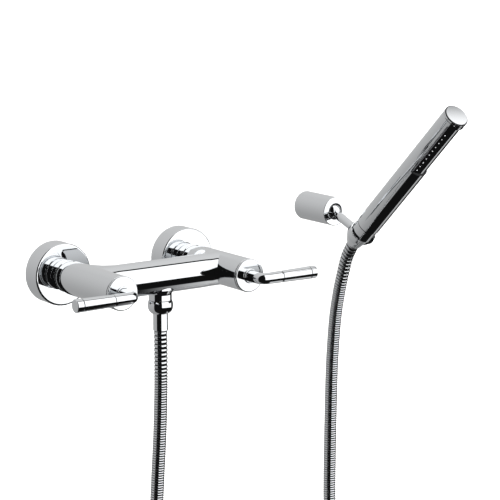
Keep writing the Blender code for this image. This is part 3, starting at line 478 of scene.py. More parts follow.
# The hose's steel strip is bright plated but hazier than the castings.
HOSE_STEEL = Finish("plated_steel_strip", "hose", "E2E4E6", Make.POLISHED, 1.0, (0.05, 0.10), 0.006, 4e-7)
FINISHES = {
    f.slot: f for f in (CHROME, BRASS, STEEL, RUBBER, CERAMIC, GREY_ABS, NYLON, SILICONE, HOSE_STEEL)
}


# --------------------------------------------------------------------------------------------- pieces
def new_mesh(name: str, surface: Surface, finish: Finish) -> bpy.types.Object:
    """A smooth shaded mesh object, with its real edges left sharp.

    Args:
        name: the object's name.
        surface: its points and faces.
        finish: its material.

    Returns:
        The object, linked to the scene.
    """
    mesh = bpy.data.meshes.new(name)
    mesh.from_pydata(surface.points.tolist(), [], surface.faces)
    mesh.polygons.foreach_set("use_smooth", np.ones(len(mesh.polygons), bool))
    mesh.set_sharp_from_angle(angle=SHARP_ANGLE)
    mesh.materials.append(finish.build())
    made = bpy.data.objects.new(name, mesh)
    bpy.context.scene.collection.objects.link(made)
    return made


def carve(target: bpy.types.Object, other: Surface, operation: str) -> None:
    """Cuts a surface away from a mesh object, or joins it on, and keeps the result as its mesh.

    Args:
        target: the object that changes.
        other: the surface to cut or join with.
        operation: DIFFERENCE or UNION.
    """
    tool = new_mesh(target.name + "_tool", other, CHROME)
    modifier = target.modifiers.new("carve", "BOOLEAN")
    modifier.operation = operation
    modifier.solver = "EXACT"
    modifier.object = tool
    bpy.context.view_layer.update()
    ready = target.evaluated_get(bpy.context.evaluated_depsgraph_get())
    result = bpy.data.meshes.new_from_object(ready)
    target.modifiers.clear()
    target.data = result
    result.polygons.foreach_set("use_smooth", np.ones(len(result.polygons), bool))
    result.set_sharp_from_angle(angle=SHARP_ANGLE)
    bpy.data.objects.remove(tool)


def darken(
    made: bpy.types.Object, axis: Axis, along: tuple[float, float], radius: tuple[float, float]
) -> None:
    """Paints shade on the faces inside a joint by giving them the near black painted shade finish.

    A face counts when its centre's distance along the axis and its distance from the axis both lie
    between the given limits.

    Args:
        made: the piece.
        axis: the line that both distances belong to.
        along: lowest and highest distance along the axis, in millimetres.
        radius: lowest and highest distance from the axis, in millimetres.
    """
    mesh = made.data
    if JOINT.name not in mesh.materials:
        mesh.materials.append(JOINT.build())
    centres = np.empty(len(mesh.polygons) * 3)
    mesh.polygons.foreach_get("center", centres)
    offset = centres.reshape(-1, 3) / MM - np.array(axis.origin) / MM
    height = offset @ np.array(axis.along)
    away = np.linalg.norm(offset - height[:, None] * np.array(axis.along), axis=1)
    inside = (height > along[0]) & (height < along[1]) & (away > radius[0]) & (away < radius[1])
    index = np.empty(len(mesh.polygons), np.int32)
    mesh.polygons.foreach_get("material_index", index)
    index[inside] = len(mesh.materials) - 1
    mesh.polygons.foreach_set("material_index", index)


def settle(made: bpy.types.Object, body: str, stands_for: Sequence[str]) -> None:
    """Puts a piece on its body and hides the solids it stands for.

    Args:
        made: the piece.
        body: the body it moves with.
        stands_for: the names of the solids.
    """
    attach(made, body)
    if stands_for:
        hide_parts(*stands_for)
    LOG.info("%s: %d faces on %s", made.name, len(made.data.polygons), body)


def add_piece(name: str, surface: Surface, finish: Finish, body: str, *stands_for: str) -> bpy.types.Object:
    """Makes a piece and settles it on its body.

    Args:
        name: the piece's name.
        surface: its shape.
        finish: its material.
        body: the body it moves with.
        *stands_for: the solids it stands for.

    Returns:
        The piece.
    """
    made = new_mesh(name, surface, finish)
    settle(made, body, stands_for)
    return made


class Side(Enum):
    """The hot and cold sides, as seen from the front."""

    LEFT = "left"
    RIGHT = "right"

    @property
    def sign(self) -> float:
        """Minus one on the left and one on the right."""
        return -1.0 if self is Side.LEFT else 1.0

    def axis(self, half_spacing: float = 0.075) -> Axis:
        """The line of this side's inlet, leg and handle, out of the wall."""
        return Axis((self.sign * half_spacing, 0.0, 0.0), (0.0, -1.0, 0.0), (1.0, 0.0, 0.0))


@dataclass
class WallInlet:
    """A flange, a threaded connector and a union nut.

    Attributes:
        side: which inlet it is.
        flange_radius: outer radius of the flange, in millimetres as the next ones are.
        flange_depth: how far the flange stands out of the wall.
        nut_start: where the nut begins.
        nut_end: where the nut ends.
        nut_radius: outer radius of the nut's sleeve.
        thread_radius: crest radius of the tail's thread.
        thread_pitch: distance from one crest to the next.
        tail: length of the threaded tail behind the wall's face.
    """

    side: Side
    flange_radius: float = 32.0
    flange_depth: float = 22.0
    nut_start: float = 22.3
    nut_end: float = 41.7
    nut_radius: float = 15.5
    thread_radius: float = 10.3
    thread_pitch: float = 1.8
    tail: float = 14.0

    def flange(self) -> Surface:
        """A spun cup with a hole for the connector: a thin wall round a flat face."""
        r, d = self.flange_radius, self.flange_depth
        corners = [
            (13.4, d, 0.3),
            (r, d, 2.0),
            (r, 0.0, 0.3),
            (r - 1.2, 0.0, 0.2),
            (r - 1.2, d - 1.2, 0.8),
            (13.4, d - 1.2, 0.3),
        ]
        return turned(rounded(corners, True), self.side.axis(), True, 160)

    def nut(self) -> Surface:
        """A smooth union sleeve with one raised bead."""
        r, lip = self.nut_radius, self.nut_start + 8.73
        corners = [
            (r, self.nut_end, 0.5),
            (r, lip + 2.2, 0.3),
            (r + 0.8, lip + 1.5, 0.3),
            (r + 0.8, lip - 1.0, 0.3),
            (r, lip - 1.7, 0.3),
            (r, self.nut_start, 0.5),
            (13.4, self.nut_start, 0.1),
            (13.4, self.nut_end - 3.3, 0.1),
            (11.0, self.nut_end - 3.3, 0.1),
            (11.0, self.nut_end, 0.3),
        ]
        return turned(rounded(corners, True), self.side.axis(), True, 112)

    def connector(self) -> Surface:
        """The connector, its tail cut with a helical thread.

        The radius of the tail falls by the thread's depth times a triangle wave of
        distance / pitch - angle / one turn, and the thread fades out over a pitch at both its ends.

        Returns:
            The closed surface.
        """
        around, depth = 48, 0.85
        tail = np.linspace(-self.tail, -0.4, 97)
        body = np.array([(10.3, 0.0), (13.0, 0.0), (13.0, 32.6), (7.0, 32.6), (7.0, -self.tail)])
        radius = np.concatenate([np.full(len(tail), self.thread_radius), body[:, 0]])
        along = np.concatenate([tail, body[:, 1]])
        angle = np.linspace(0, 2 * math.pi, around, endpoint=False)
        turn = along[:, None] / self.thread_pitch - angle[None, :] / (2 * math.pi)
        wave = np.abs(2 * (turn % 1.0) - 1)
        ends = np.clip(np.minimum(along + self.tail, -0.4 - along) / self.thread_pitch, 0, 1)
        radii = radius[:, None] - depth * wave * ends[:, None]
        rows = len(radius)
        grid = self.side.axis().place(
            radii * MM, np.repeat(along[:, None], around, 1) * MM, np.tile(angle, (rows, 1))
        )
        return ring_grid(grid)

    def build(self) -> None:
        """Makes the three pieces."""
        name = self.side.value
        add_piece(f"flange_{name}", self.flange(), CHROME, "mixer", f"wall_flange_{name}")
        add_piece(f"union_sleeve_{name}", self.nut(), CHROME, "mixer", f"union_nut_{name}")
        add_piece(f"connector_{name}", self.connector(), BRASS, "mixer", f"wall_connector_{name}")


@dataclass
class MixerBody:
    """The casting: two legs, the bar that runs into them with a bend at each end, and the outlet.

    Attributes:
        leg_radius: outer radius of a leg, in millimetres as the next ones are.
        leg_back: where a leg begins, from the wall.
        leg_front: where a leg ends.
        bar_radius: outer radius of the bar.
        bar_from_wall: the bar's axis, from the wall.
        bend_radius: radius of the bends' middle line.
        boss_radius: outer radius of the outlet boss.
        boss_drop: the boss's lower end, below the bar's axis.
        half_spacing: from the middle of the bar to a leg's axis.
    """

    leg_radius: float = 17.0
    leg_back: float = 42.0
    leg_front: float = 131.7
    bar_radius: float = 17.3
    bar_from_wall: float = 84.5
    bend_radius: float = 34.0
    boss_radius: float = 11.7
    boss_drop: float = 24.0
    half_spacing: float = 75.0

    def leg(self, side: Side) -> Surface:
        """A leg with its collared tail, still solid."""
        r, back = self.leg_radius, self.leg_back
        corners = [
            (0.0, self.leg_front, 0.0),
            (r, self.leg_front, 0.5),
            (r, back, 0.9),
            (10.6, back, 0.2),
            (10.6, back - 3.9, 0.2),
            (13.0, back - 3.9, 0.2),
            (13.0, back - 6.9, 0.2),
            (0.0, back - 6.9, 0.0),
        ]
        return turned(rounded(corners, False), side.axis(), False, 128)

    def bore(self, side: Side) -> Surface:
        """The stepped hollow of a leg: the waterway, the cartridge's seat and the handle's mouth."""
        corners = [
            (0.0, 30.0, 0.0),
            (6.5, 30.0, 0.0),
            (6.5, 72.0, 0.0),
            (11.4, 72.0, 0.0),
            (11.4, 109.5, 0.0),
            (14.2, 109.5, 0.0),
            (14.2, 135.0, 0.0),
            (0.0, 135.0, 0.0),
        ]
        return turned(rounded(corners, False), side.axis(), False, 96)

    def bar(self) -> Surface:
        """The straight bar between the legs' axes, eased to the legs' radius inside them.

        Its radius is bar + (leg - bar) * s * s * (3 - 2 s), where s runs from 0 to 1 over the last
        stretch before each leg.

        Returns:
            The closed surface.
        """
        x = np.linspace(-self.half_spacing, self.half_spacing, 61)
        share = np.clip((np.abs(x) - 48.0) / 12.0, 0, 1)
        ease = share * share * (3 - 2 * share)
        radii = self.bar_radius + (self.leg_radius - 0.02 - self.bar_radius) * ease
        path = np.stack([x, np.full(len(x), -self.bar_from_wall), np.zeros(len(x))], -1)
        return swept(path * MM, radii * MM, 128)

    def bend(self, side: Side) -> Surface:
        """The quarter turn that fills the corner between a leg and the bar on the wall's side.

        Its middle line is a quarter circle from the leg's axis to the bar's, with a short straight
        lead at both ends.

        Returns:
            The closed surface.
        """
        turn = np.linspace(0, math.pi / 2, 44)
        inner = self.half_spacing - self.bend_radius
        centre = self.bar_from_wall - self.bend_radius
        x = np.concatenate([[self.half_spacing], inner + self.bend_radius * np.cos(turn), [inner - 6.0]])
        y = np.concatenate([[centre - 4.0], centre + self.bend_radius * np.sin(turn), [self.bar_from_wall]])
        path = np.stack([x * side.sign, -y, np.zeros(len(x))], -1) * MM
        return swept(path, np.full(len(path), (self.leg_radius - 0.08) * MM), 128)

    def boss(self) -> Surface:
        """The outlet boss under the bar, flared where it meets it."""
        axis = Axis((0.0, -self.bar_from_wall * MM, 0.0), (0.0, 0.0, -1.0), (1.0, 0.0, 0.0))
        r = self.boss_radius
        corners = [
            (10.2, self.boss_drop, 0.2),
            (r, self.boss_drop, 0.4),
            (r, 17.0, 3.0),
            (r + 3.4, 12.4, 0.2),
            (r + 2.4, 10.0, 0.2),
            (10.2, 10.0, 0.2),
        ]
        return turned(rounded(corners, True, 8), axis, True, 96)

    def build(self) -> None:
        """Makes the casting as one piece."""
        made = new_mesh("mixer_casting", self.bar(), CHROME)
        for part in (*(make(side) for make in (self.leg, self.bend) for side in Side), self.boss()):
            carve(made, part, "UNION")
        for side in Side:
            carve(made, self.bore(side), "DIFFERENCE")
            # Painted shade: the leg's mouth and front rim go near black, for the shaded gap to the disc.
            rim = (self.leg_front - 3.0, self.leg_front + 0.1)
            darken(made, side.axis(), rim, (0.0, self.leg_radius - 0.3))
        settle(made, "mixer", ["mixer_body"])


@dataclass
class Handle:
    """A turning disc with a hub and an angled lever.

    Attributes:
        side: which handle it is.
        disc_back: where the disc's rim begins, in millimetres from the wall as the next ones are.
        disc_face: the disc's front face.
        disc_radius: the disc's radius.
        lever_axis: the lever rod's middle line.
        root: radius of the stem and of the rod's root.
        tip: radius of the rod's tip.
        arm_end: where the grip begins, from the handle's axis.
        length: the lever's tip, from the handle's axis.
        elbow: radius of the corner's middle line.
    """

    side: Side
    disc_back: float = 132.6
    disc_face: float = 134.9
    disc_radius: float = 17.0
    lever_axis: float = 155.9
    root: float = 5.7
    tip: float = 6.6
    arm_end: float = 23.0
    length: float = 65.5
    elbow: float = 6.0

    @property
    def body(self) -> str:
        """The body that this handle turns with."""
        return f"{self.side.value}_handle"

    def rod_radius(self, along: float) -> float:
        """The rod's radius in millimetres at that distance from the handle's axis."""
        return self.root + (self.tip - self.root) * along / self.length

    def rod_axis(self) -> Axis:
        """The lever rod's middle line, outwards from the handle's axis."""
        origin = (self.side.sign * 0.075, -self.lever_axis * MM, 0.0)
        return Axis(origin, (self.side.sign, 0.0, 0.0), (0.0, 0.0, 1.0))

    def disc(self) -> Surface:
        """The disc with its raised hub and the boss that fills the leg's mouth."""
        face, back, r = self.disc_face, self.disc_back, self.disc_radius
        corners = [
            (7.3, face + 1.5, 0.7),
            (7.3, face, 0.3),
            (r, face, 2.1),
            (r, back, 0.3),
            (13.2, back, 0.2),
            (13.2, back - 16.4, 0.3),
            (6.0, back - 16.4, 0.3),
            (6.0, face + 1.5, 0.2),
        ]
        return turned(rounded(corners, True), self.side.axis(), True, 128)

    def arm(self) -> Surface:
        """The stem and the first stretch of rod: a round bar carried round a tight corner."""
        turn = np.linspace(0, math.pi / 2, 15)
        foot = np.linspace(131.4, self.lever_axis - self.elbow, 8)[:-1]
        reach = np.linspace(self.elbow, self.arm_end, 12)[1:]
        corner = self.lever_axis - self.elbow * (1 - np.sin(turn))
        out = np.concatenate([foot, corner, np.full(len(reach), self.lever_axis)])
        along = np.concatenate([np.zeros(7), self.elbow * (1 - np.cos(turn)), reach])
        radii = np.array([self.rod_radius(max(0.0, a)) for a in along])
        edge = 0.35
        along = np.append(along, [along[-1] + 0.1, along[-1] + edge])
        out = np.append(out, [out[-1]] * 2)
        radii = np.append(radii, [radii[-1] - 0.05, radii[-1] - edge])
        x = self.side.sign * (75.0 + along)
        path = np.stack([x, -out, np.zeros(len(out))], -1) * MM
        return swept(path, radii * MM, 64)

    def grip(self) -> Surface:
        """The plain rod beyond the first ring."""
        start, end = self.arm_end + 0.7, self.length - 7.5
        corners = [
            (3.2, start, 0.0),
            (self.rod_radius(start), start, 0.35),
            (self.rod_radius(end), end, 0.35),
            (3.2, end, 0.0),
        ]
        return turned(rounded(corners, True), self.rod_axis(), True, 64)

    def cap(self) -> Surface:
        """The rod's flat end, screwed in."""
        start, end = self.length - 7.0, self.length
        corners = [
            (0.0, end, 0.0),
            (self.tip, end, 1.0),
            (self.rod_radius(start), start, 0.35),
            (3.0, start, 0.0),
            (3.0, self.arm_end + 1.0, 0.2),
            (0.0, self.arm_end + 1.0, 0.0),
        ]
        return turned(rounded(corners, False), self.rod_axis(), False, 64)

    def build(self) -> None:
        """Makes the handle's four pieces."""
        name = self.side.value
        disc = add_piece(f"disc_{name}", self.disc(), CHROME, self.body, f"handle_disc_{name}")
        # Painted shade: the disc's back and boss go near black, for the shaded gap against the leg.
        darken(disc, self.side.axis(), (0.0, self.disc_back + 0.02), (0.0, self.disc_radius - 0.4))
        arm = add_piece(f"lever_bend_{name}", self.arm(), CHROME, self.body, f"lever_arm_{name}")
        rod = add_piece(f"lever_rod_{name}", self.grip(), CHROME, self.body, f"lever_grip_{name}")
        end = add_piece(f"lever_end_{name}", self.cap(), CHROME, self.body, f"lever_cap_{name}")
        last = self.length - 7.25
        # Painted shade: thin near black rings at the lever's two joints.
        for piece in (arm, rod, end):
            darken(piece, self.rod_axis(), (self.arm_end + 0.3, self.arm_end + 0.8), (0.0, self.root - 0.2))
            darken(piece, self.rod_axis(), (last - 0.35, last + 0.35), (0.0, self.root + 0.3))


@dataclass
class HoseConnection:
    """The barrel nut and the plain ferrule under the outlet.

    Attributes:
        nut_top: the nut's upper face, in millimetres below the bar's axis as the next ones are.
        nut_end: the nut's lower end.
        ferrule_radius: radius of the ferrule.
        ferrule_end: the ferrule's lower end.
    """

    nut_top: float = 24.3
    nut_end: float = 37.4
    ferrule_radius: float = 7.6
    ferrule_end: float = 55.7
    axis: Axis = field(default_factory=lambda: Axis((0.0, -0.0845, 0.0), (0.0, 0.0, -1.0), (1.0, 0.0, 0.0)))

    def nut(self) -> Surface:
        """A barrel: its radius is a fourth-power dome that peaks a third of the way down."""
        share = np.linspace(0, 1, 21)
        along = self.nut_top + (self.nut_end - self.nut_top) * share
        radius = 12.9 - 1.0 * np.clip((0.34 - share) / 0.34, 0, 1) ** 2.4
        radius -= 3.6 * np.clip((share - 0.34) / 0.66, 0, 1) ** 3.0
        outer = np.stack([radius, along], -1)
        inner = np.array([(8.2, self.nut_end), (8.2, 33.0), (10.2, 33.0), (10.2, self.nut_top)])
        return turned(np.concatenate([outer, inner]) * MM, self.axis, True, 96)

    def ferrule(self) -> Surface:
        """The crimped sleeve that the hose comes out of."""
        corners = [
            (9.8, 33.8, 0.2),
            (9.8, 35.6, 0.2),
            (self.ferrule_radius, 35.6, 0.1),
            (self.ferrule_radius, self.ferrule_end, 0.7),
            (4.5, self.ferrule_end, 0.2),
            (4.5, 33.8, 0.2),
        ]
        return turned(rounded(corners, True), self.axis, True, 72)

    def build(self) -> None:
        """Makes the nut and the ferrule."""
        add_piece("barrel_nut", self.nut(), CHROME, "mixer", "hose_nut_lower")
        add_piece("hose_ferrule", self.ferrule(), CHROME, "mixer", "hose_ferrule_lower")


@dataclass
class Hose:
    """The free metal hose: an interlocked steel strip wound round a rubber tube.

    Attributes:
        length: the hose's trade length in metres; not used.
        diameter: its outer diameter.
        pitch: distance from one turn of the strip to the next.
        end_pitch: the same where the strip is stretched, near both ends.
        route: the points that its middle line goes through.
    """

    length: float = 1.25
    diameter: float = 0.014
    pitch: float = 0.0026
    end_pitch: float = 0.0044
    route: tuple[Point, ...] = (
        (0.0000, -0.0845, -0.0560),
        (0.0000, -0.0845, -0.0850),
        (-0.0003, -0.0843, -0.1200),
        (-0.0015, -0.0835, -0.1650),
        (-0.0034, -0.0815, -0.2150),
        (-0.0048, -0.0790, -0.2750),
        (-0.0045, -0.0765, -0.3380),
        (-0.0010, -0.0740, -0.4000),
        (0.0080, -0.0715, -0.4590),
        (0.0260, -0.0690, -0.5130),
        (0.0555, -0.0665, -0.5560),
        (0.0960, -0.0635, -0.5820),
        (0.1400, -0.0605, -0.5840),
        (0.1820, -0.0575, -0.5620),
        (0.2130, -0.0545, -0.5210),
        (0.2330, -0.0515, -0.4670),
        (0.2435, -0.0490, -0.4060),
        (0.2480, -0.0465, -0.3400),
        (0.2485, -0.0450, -0.2700),
        (0.2482, -0.0462, -0.2050),
        (0.2476, -0.0485, -0.1450),
        (0.2472, -0.0515, -0.1080),
        (0.2470, -0.0556, -0.0760),
        (0.2470, -0.0619, -0.0480),
        (0.2470, -0.0686, -0.0260),
        (0.2470, -0.0752, -0.0085),
        (0.2470, -0.0845, 0.0058),
        (0.2470, -0.0867, 0.0078),
    )

    def middle_line(self) -> np.ndarray:
        """The hose's middle line, close points on a smooth curve through its route."""
        return smooth_curve(self.route)

    def build(self) -> None:
        """The strip shows as ridges. Along the hose the radius is full * (1 - groove * (1 - arch)), where
        arch = sqrt(1 - (2 u - 1)^2) and u is the share of the way through a turn of the strip. The
        pitch eases from the stretched value at both ends to the close one over 60 mm.
        """
        line = self.middle_line()
        lengths = np.concatenate([[0], np.cumsum(np.linalg.norm(np.diff(line, axis=0), axis=1))])
        total = lengths[-1]
        fine = np.linspace(0, total, 20001)
        from_end = np.minimum(fine, (total - fine) * 0.9)
        ease = np.clip((from_end - 0.028) / 0.032, 0, 1)
        ease = ease * ease * (3 - 2 * ease)
        local_pitch = self.end_pitch + (self.pitch - self.end_pitch) * ease
        turns = np.concatenate([[0], np.cumsum(np.diff(fine) / local_pitch[1:])])
        whole = math.floor(turns[-1])
        turns *= whole / turns[-1]
        per_turn = np.array([0.0, 0.14, 0.30, 0.5, 0.70, 0.86])
        wanted = (np.arange(whole)[:, None] + per_turn[None, :]).ravel()
        wanted = np.append(wanted, whole)
        share = wanted % 1.0
        arch = np.sqrt(np.clip(1 - (2 * share - 1) ** 2, 0, 1))
        places = np.interp(wanted, turns, fine) / total
        path = evenly(line, places)
        radii = self.diameter / 2 * (1 - 0.20 * (1 - arch))
        around = 22
        made = new_mesh("metal_hose", swept(path, radii, around), HOSE_STEEL)
        # Painted shade: the rows in the grooves between the strip's turns get the near black painted shade
        # finish.
        made.data.materials.append(JOINT.build())
        index = np.zeros(len(made.data.polygons), np.int32)
        row = np.arange((len(path) - 1) * around) // around % len(per_turn)
        index[: len(row)] = (row == 0) | (row == len(per_turn) - 1)
        made.data.polygons.foreach_set("material_index", index)
        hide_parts("shower_hose")
        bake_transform(made)
        LOG.info("metal_hose: %d faces, %.3f m long", len(made.data.polygons), total)


@dataclass
class WallHolder:
    """The wall sleeve, the ball and its arm, and the slotted cup.

    Attributes:
        x: the holder's place along the wall, in millimetres as the next ones are.
        z: its height.
        sleeve_radius: outer radius of the sleeve.
        sleeve_length: how far the sleeve stands out of the wall.
        ball: the ball's middle, from the wall.
        ball_radius: the ball's radius.
        drop: how far the arm points down, in degrees.
        cup_top: the cup's upper rim, along the handset's axis.
        cup_end: the cup's lower rim.
        slot: width of the cup's slot at its lower end.
        mouth: width of the slot at its rim.
    """

    x: float = 247.0
    z: float = 37.5
    sleeve_radius: float = 15.75
    sleeve_length: float = 53.5
    ball: float = 48.5
    ball_radius: float = 9.0
    drop: float = 20.0
    cup_top: float = 13.8
    cup_end: float = -6.2
    slot: float = 15.6
    mouth: float = 23.6

    def sleeve(self) -> Surface:
        """The plain sleeve with the ball's round mouth in its face."""
        axis = Axis((self.x * MM, 0.0, self.z * MM), (0.0, -1.0, 0.0), (1.0, 0.0, 0.0))
        seat, inner = self.ball_radius + 0.3, self.sleeve_radius - 1.55
        corners = [
            (9.0, self.sleeve_length, 0.2),
            (self.sleeve_radius, self.sleeve_length, 0.7),
            (self.sleeve_radius, 0.0, 0.3),
            (inner, 0.0, 0.2),
            (inner, self.ball - 10.5, 0.2),
            (seat, self.ball - 10.5, 0.2),
            (seat, self.ball, 0.0),
            (math.sqrt(seat**2 - 4.0), self.ball + 2.0, 0.0),
            (9.0, self.ball + 2.4, 0.2),
        ]
        return turned(rounded(corners, True), axis, True, 128)

    def ball_and_arm(self) -> Surface:
        """A sphere, a thin neck and the round arm, turned on the arm's line."""
        drop = math.radians(self.drop)
        origin = (self.x * MM, -self.ball * MM, self.z * MM)
        axis = Axis(origin, (0.0, -math.cos(drop), -math.sin(drop)), (1.0, 0.0, 0.0))
        neck, arm, r = 3.6, 4.6, self.ball_radius
        start = math.asin(neck / r)
        angles = np.linspace(math.pi, start, 28)
        ball = np.stack([r * np.sin(angles), r * np.cos(angles)], -1)
        ball[0, 0] = 0.0
        shaft = rounded(
            [(neck, r - 0.7, 0.0), (neck, r + 2.5, 0.8), (arm, r + 4.0, 0.8), (arm, 41.0, 0.0)], False
        )
        outline = np.concatenate([ball * MM, shaft[1:], [[0.0, 0.041]]])
        return turned(outline, axis, False, 64)

    def cup(self) -> Surface:
        """The cup's outside, a bowl that narrows to the hose."""
        corners = [
            (0.0, self.cup_top, 0.0),
            (14.8, self.cup_top, 0.8),
            (15.3, 6.0, 9.0),
            (9.6, self.cup_end, 0.5),
            (0.0, self.cup_end, 0.0),
        ]
        return turned(rounded(corners, False, 12), STICK_AXIS, False, 112)

    def hollow(self) -> Surface:
        """The cup's inside, which fits the cone nut with a little play."""
        corners = [
            (0.0, 30.0, 0.0),
            (12.9, 30.0, 0.0),
            (12.9, 10.8, 0.0),
            (12.1, 9.8, 0.0),
            (8.4, -7.4, 0.0),
            (0.0, -7.4, 0.0),
        ]
        return turned(rounded(corners, False), STICK_AXIS, False, 112)

    def slot_block(self) -> Surface:
        """The wedge that opens the cup towards the spray side, wider at the rim."""
        flare = (self.mouth - self.slot) / (self.cup_top - self.cup_end) / 2
        high, low = 20.0, -12.0
        block = box(STICK_AXIS, (-MM, -30 * MM, low * MM), (MM, 0.0, high * MM))
        corners = block.points - np.array(STICK_AXIS.origin)
        height = corners @ np.array(STICK_AXIS.along)
        half = self.slot / 2 * MM + flare * (height - self.cup_end * MM)
        block.points[:, 0] = STICK_AXIS.origin[0] + np.sign(corners[:, 0]) * half
        return block

    def build(self) -> None:
        """Makes the sleeve and the holder."""
        sleeve = add_piece("holder_sleeve", self.sleeve(), CHROME, "mixer", "bracket_sleeve")
        outward = Axis((self.x * MM, 0.0, self.z * MM), (0.0, -1.0, 0.0), (1.0, 0.0, 0.0))
        # Painted shade: the ball's mouth in the sleeve goes near black, for the shaded recess round the ball.
        darken(sleeve, outward, (self.ball - 1.0, self.sleeve_length - 0.15), (0.0, 9.3))
        made = new_mesh("holder_arm_and_cup", self.cup(), CHROME)
        carve(made, self.ball_and_arm(), "UNION")
        carve(made, self.hollow(), "DIFFERENCE")
        carve(made, self.slot_block(), "DIFFERENCE")
        settle(made, "holder", ["tilting_holder"])


LEAN = math.radians(46.4)
STICK_AXIS = Axis(
    (0.2470, -0.0921, 0.0130), (0.0, -math.sin(LEAN), math.cos(LEAN)), (1.0, 0.0, 0.0)
)


@dataclass
class Handset:
    """The stick handset: cone nut, tube, cap, spray plate and nozzles.

    Across the handset's axis, x runs along the wall and the spray side is at minus y.

    Attributes:
        radius: outer radius of the tube, in millimetres as the next ones are.
        start: the tube's lower end.
        end: the tube's upper end.
        length: the cap's upper face.
        spray_start: where the cut flat begins.
        spray_end: where it ends.
        flat: the flat's distance from the axis.
        row_pitch: distance between nozzles along the handset.
        column_pitch: distance between rows of nozzles across it.
        rows: how many nozzles the longer columns have.
        columns: how many columns of nozzles there are.
    """

    radius: float = 12.9
    start: float = 27.0
    end: float = 211.8
    length: float = 215.0
    spray_start: float = 131.0
    spray_end: float = 207.0
    flat: float = 6.6
    row_pitch: float = 6.4
    column_pitch: float = 3.3
    rows: int = 10
    columns: int = 5

    def tube(self) -> Surface:
        """The tube, with one side cut to a flat.

        Round a section the point is radius * (cos(angle), sin(angle)), and between the flat's two
        ends its second number is held at minus the flat's distance.

        Returns:
            The closed surface.
        """
        around = 144
        edge = 0.02
        plain = [
            (self.radius - 0.25, self.start, 0),
            (self.radius, self.start + 0.25, 0),
            (self.radius, self.start + 0.4, 0),
            (self.radius, self.spray_start, 0),
            (self.radius, self.spray_start + edge, 1),
            (self.radius, self.spray_end - edge, 1),
            (self.radius, self.spray_end, 0),
            (self.radius, self.end - 0.2, 0),
            (self.radius - 0.15, self.end, 0),
            (self.radius - 1.45, self.end, 0),
            (self.radius - 1.45, self.start, 0),
        ]
        rows = np.array(plain)
        angle = np.linspace(0, 2 * math.pi, around, endpoint=False)
        x = rows[:, :1] * np.cos(angle)
        y = rows[:, :1] * np.sin(angle)
        y = np.where(rows[:, 2:] > 0, np.maximum(y, -self.flat), y)
        z = np.repeat(rows[:, 1:2], around, 1)
        line, across = np.array(STICK_AXIS.along), np.array(STICK_AXIS.across)
        side = np.cross(line, across)
        grid = np.array(STICK_AXIS.origin) + MM * (
            x[..., None] * across + y[..., None] * side + z[..., None] * line
        )
        return ring_grid(grid)

    def cap(self) -> Surface:
        """The flat cap and its plug."""
        corners = [
            (0.0, self.length, 0.0),
            (11.8, self.length, 0.0),
            (11.85, self.length - 0.4, 0.0),
            (12.5, self.length - 0.55, 0.0),
            (self.radius, self.length - 0.95, 0.1),
            (self.radius, self.end + 0.3, 0.2),
            (11.1, self.end + 0.3, 0.1),
            (11.1, self.end - 2.6, 0.1),
            (0.0, self.end - 2.6, 0.0),
        ]
        return turned(rounded(corners, False), STICK_AXIS, False, 144)

    def cone_nut(self) -> Surface:
        """The hose's cone nut: a straight collar, a shoulder and a long cone."""
        corners = [
            (11.9, 26.8, 0.1),
            (11.9, 26.1, 0.1),
            (12.4, 26.0, 0.2),
            (12.4, 10.8, 1.2),
            (11.2, 9.8, 0.2),
            (8.0, -7.2, 0.5),
            (5.2, -7.2, 0.1),
            (5.2, 6.5, 0.1),
            (10.2, 6.5, 0.1),
            (10.2, 26.8, 0.2),
        ]
        return turned(rounded(corners, True), STICK_AXIS, True, 112)

    def plate(self) -> Surface:
        """The grey spray face, a rounded slab let into the flat."""
        half, low, high = 9.9, self.spray_start + 0.35, self.spray_end - 0.35
        depth = np.array([-self.flat + 1.6, -self.flat - 0.15, -self.flat - 0.45])
        inset = np.array([0.0, 0.0, 0.3])
        corner = np.array([(-1, -1), (1, -1), (1, 1), (-1, 1)], float)
        middle = (low + high) / 2
        points = []
        for y, cut in zip(depth, inset):
            for a, b in corner:
                x, z = a * (half - cut), middle + b * ((high - low) / 2 - cut)
                points.append(STICK_AXIS.point(x * MM, y * MM, z * MM))
        faces: Faces = [(3, 2, 1, 0), (8, 9, 10, 11)]
        for k in (0, 4):
            for i in range(4):
                j = (i + 1) % 4
                faces.append((k + i, k + j, k + 4 + j, k + 4 + i))
        return Surface(np.array(points), faces).outward()

    def nozzles(self) -> Surface:
        """Staggered rows of short tapered nozzles, each with a small hole in its tip."""
        corners = [
            (0.0, -0.6, 0.0),
            (1.2, -0.6, 0.0),
            (1.05, 0.4, 0.2),
            (0.8, 2.2, 0.25),
            (0.4, 2.2, 0.0),
            (0.4, 1.2, 0.0),
            (0.0, 1.2, 0.0),
        ]
        outline = rounded(corners, False, 2)
        made = []
        for column in range(self.columns):
            odd = column % 2
            for row in range(self.rows - odd):
                x = (column - self.columns // 2) * self.column_pitch
                z = self.spray_start + 5.4 + (row + odd / 2) * self.row_pitch
                foot = STICK_AXIS.point(x * MM, -(self.flat + 0.45) * MM, z * MM)
                side = -np.cross(STICK_AXIS.along, STICK_AXIS.across)
                spot = Axis(tuple(foot), tuple(side), STICK_AXIS.across)
                made.append(turned(outline, spot, False, 12))
        return joined(made)

    def build(self) -> None:
        """Makes the handset's pieces."""
        tube = add_piece("stick_tube", self.tube(), CHROME, "handset", "handset_tube")
        # Painted shade: near black lines where the tube meets the nut and where the flat begins.
        darken(tube, STICK_AXIS, (self.start - 0.1, self.start + 0.2), (0.0, self.radius))
        darken(tube, STICK_AXIS, (self.spray_start, self.spray_start + 0.03), (0.0, self.radius))
        cap = add_piece("stick_cap", self.cap(), CHROME, "handset", "handset_cap")
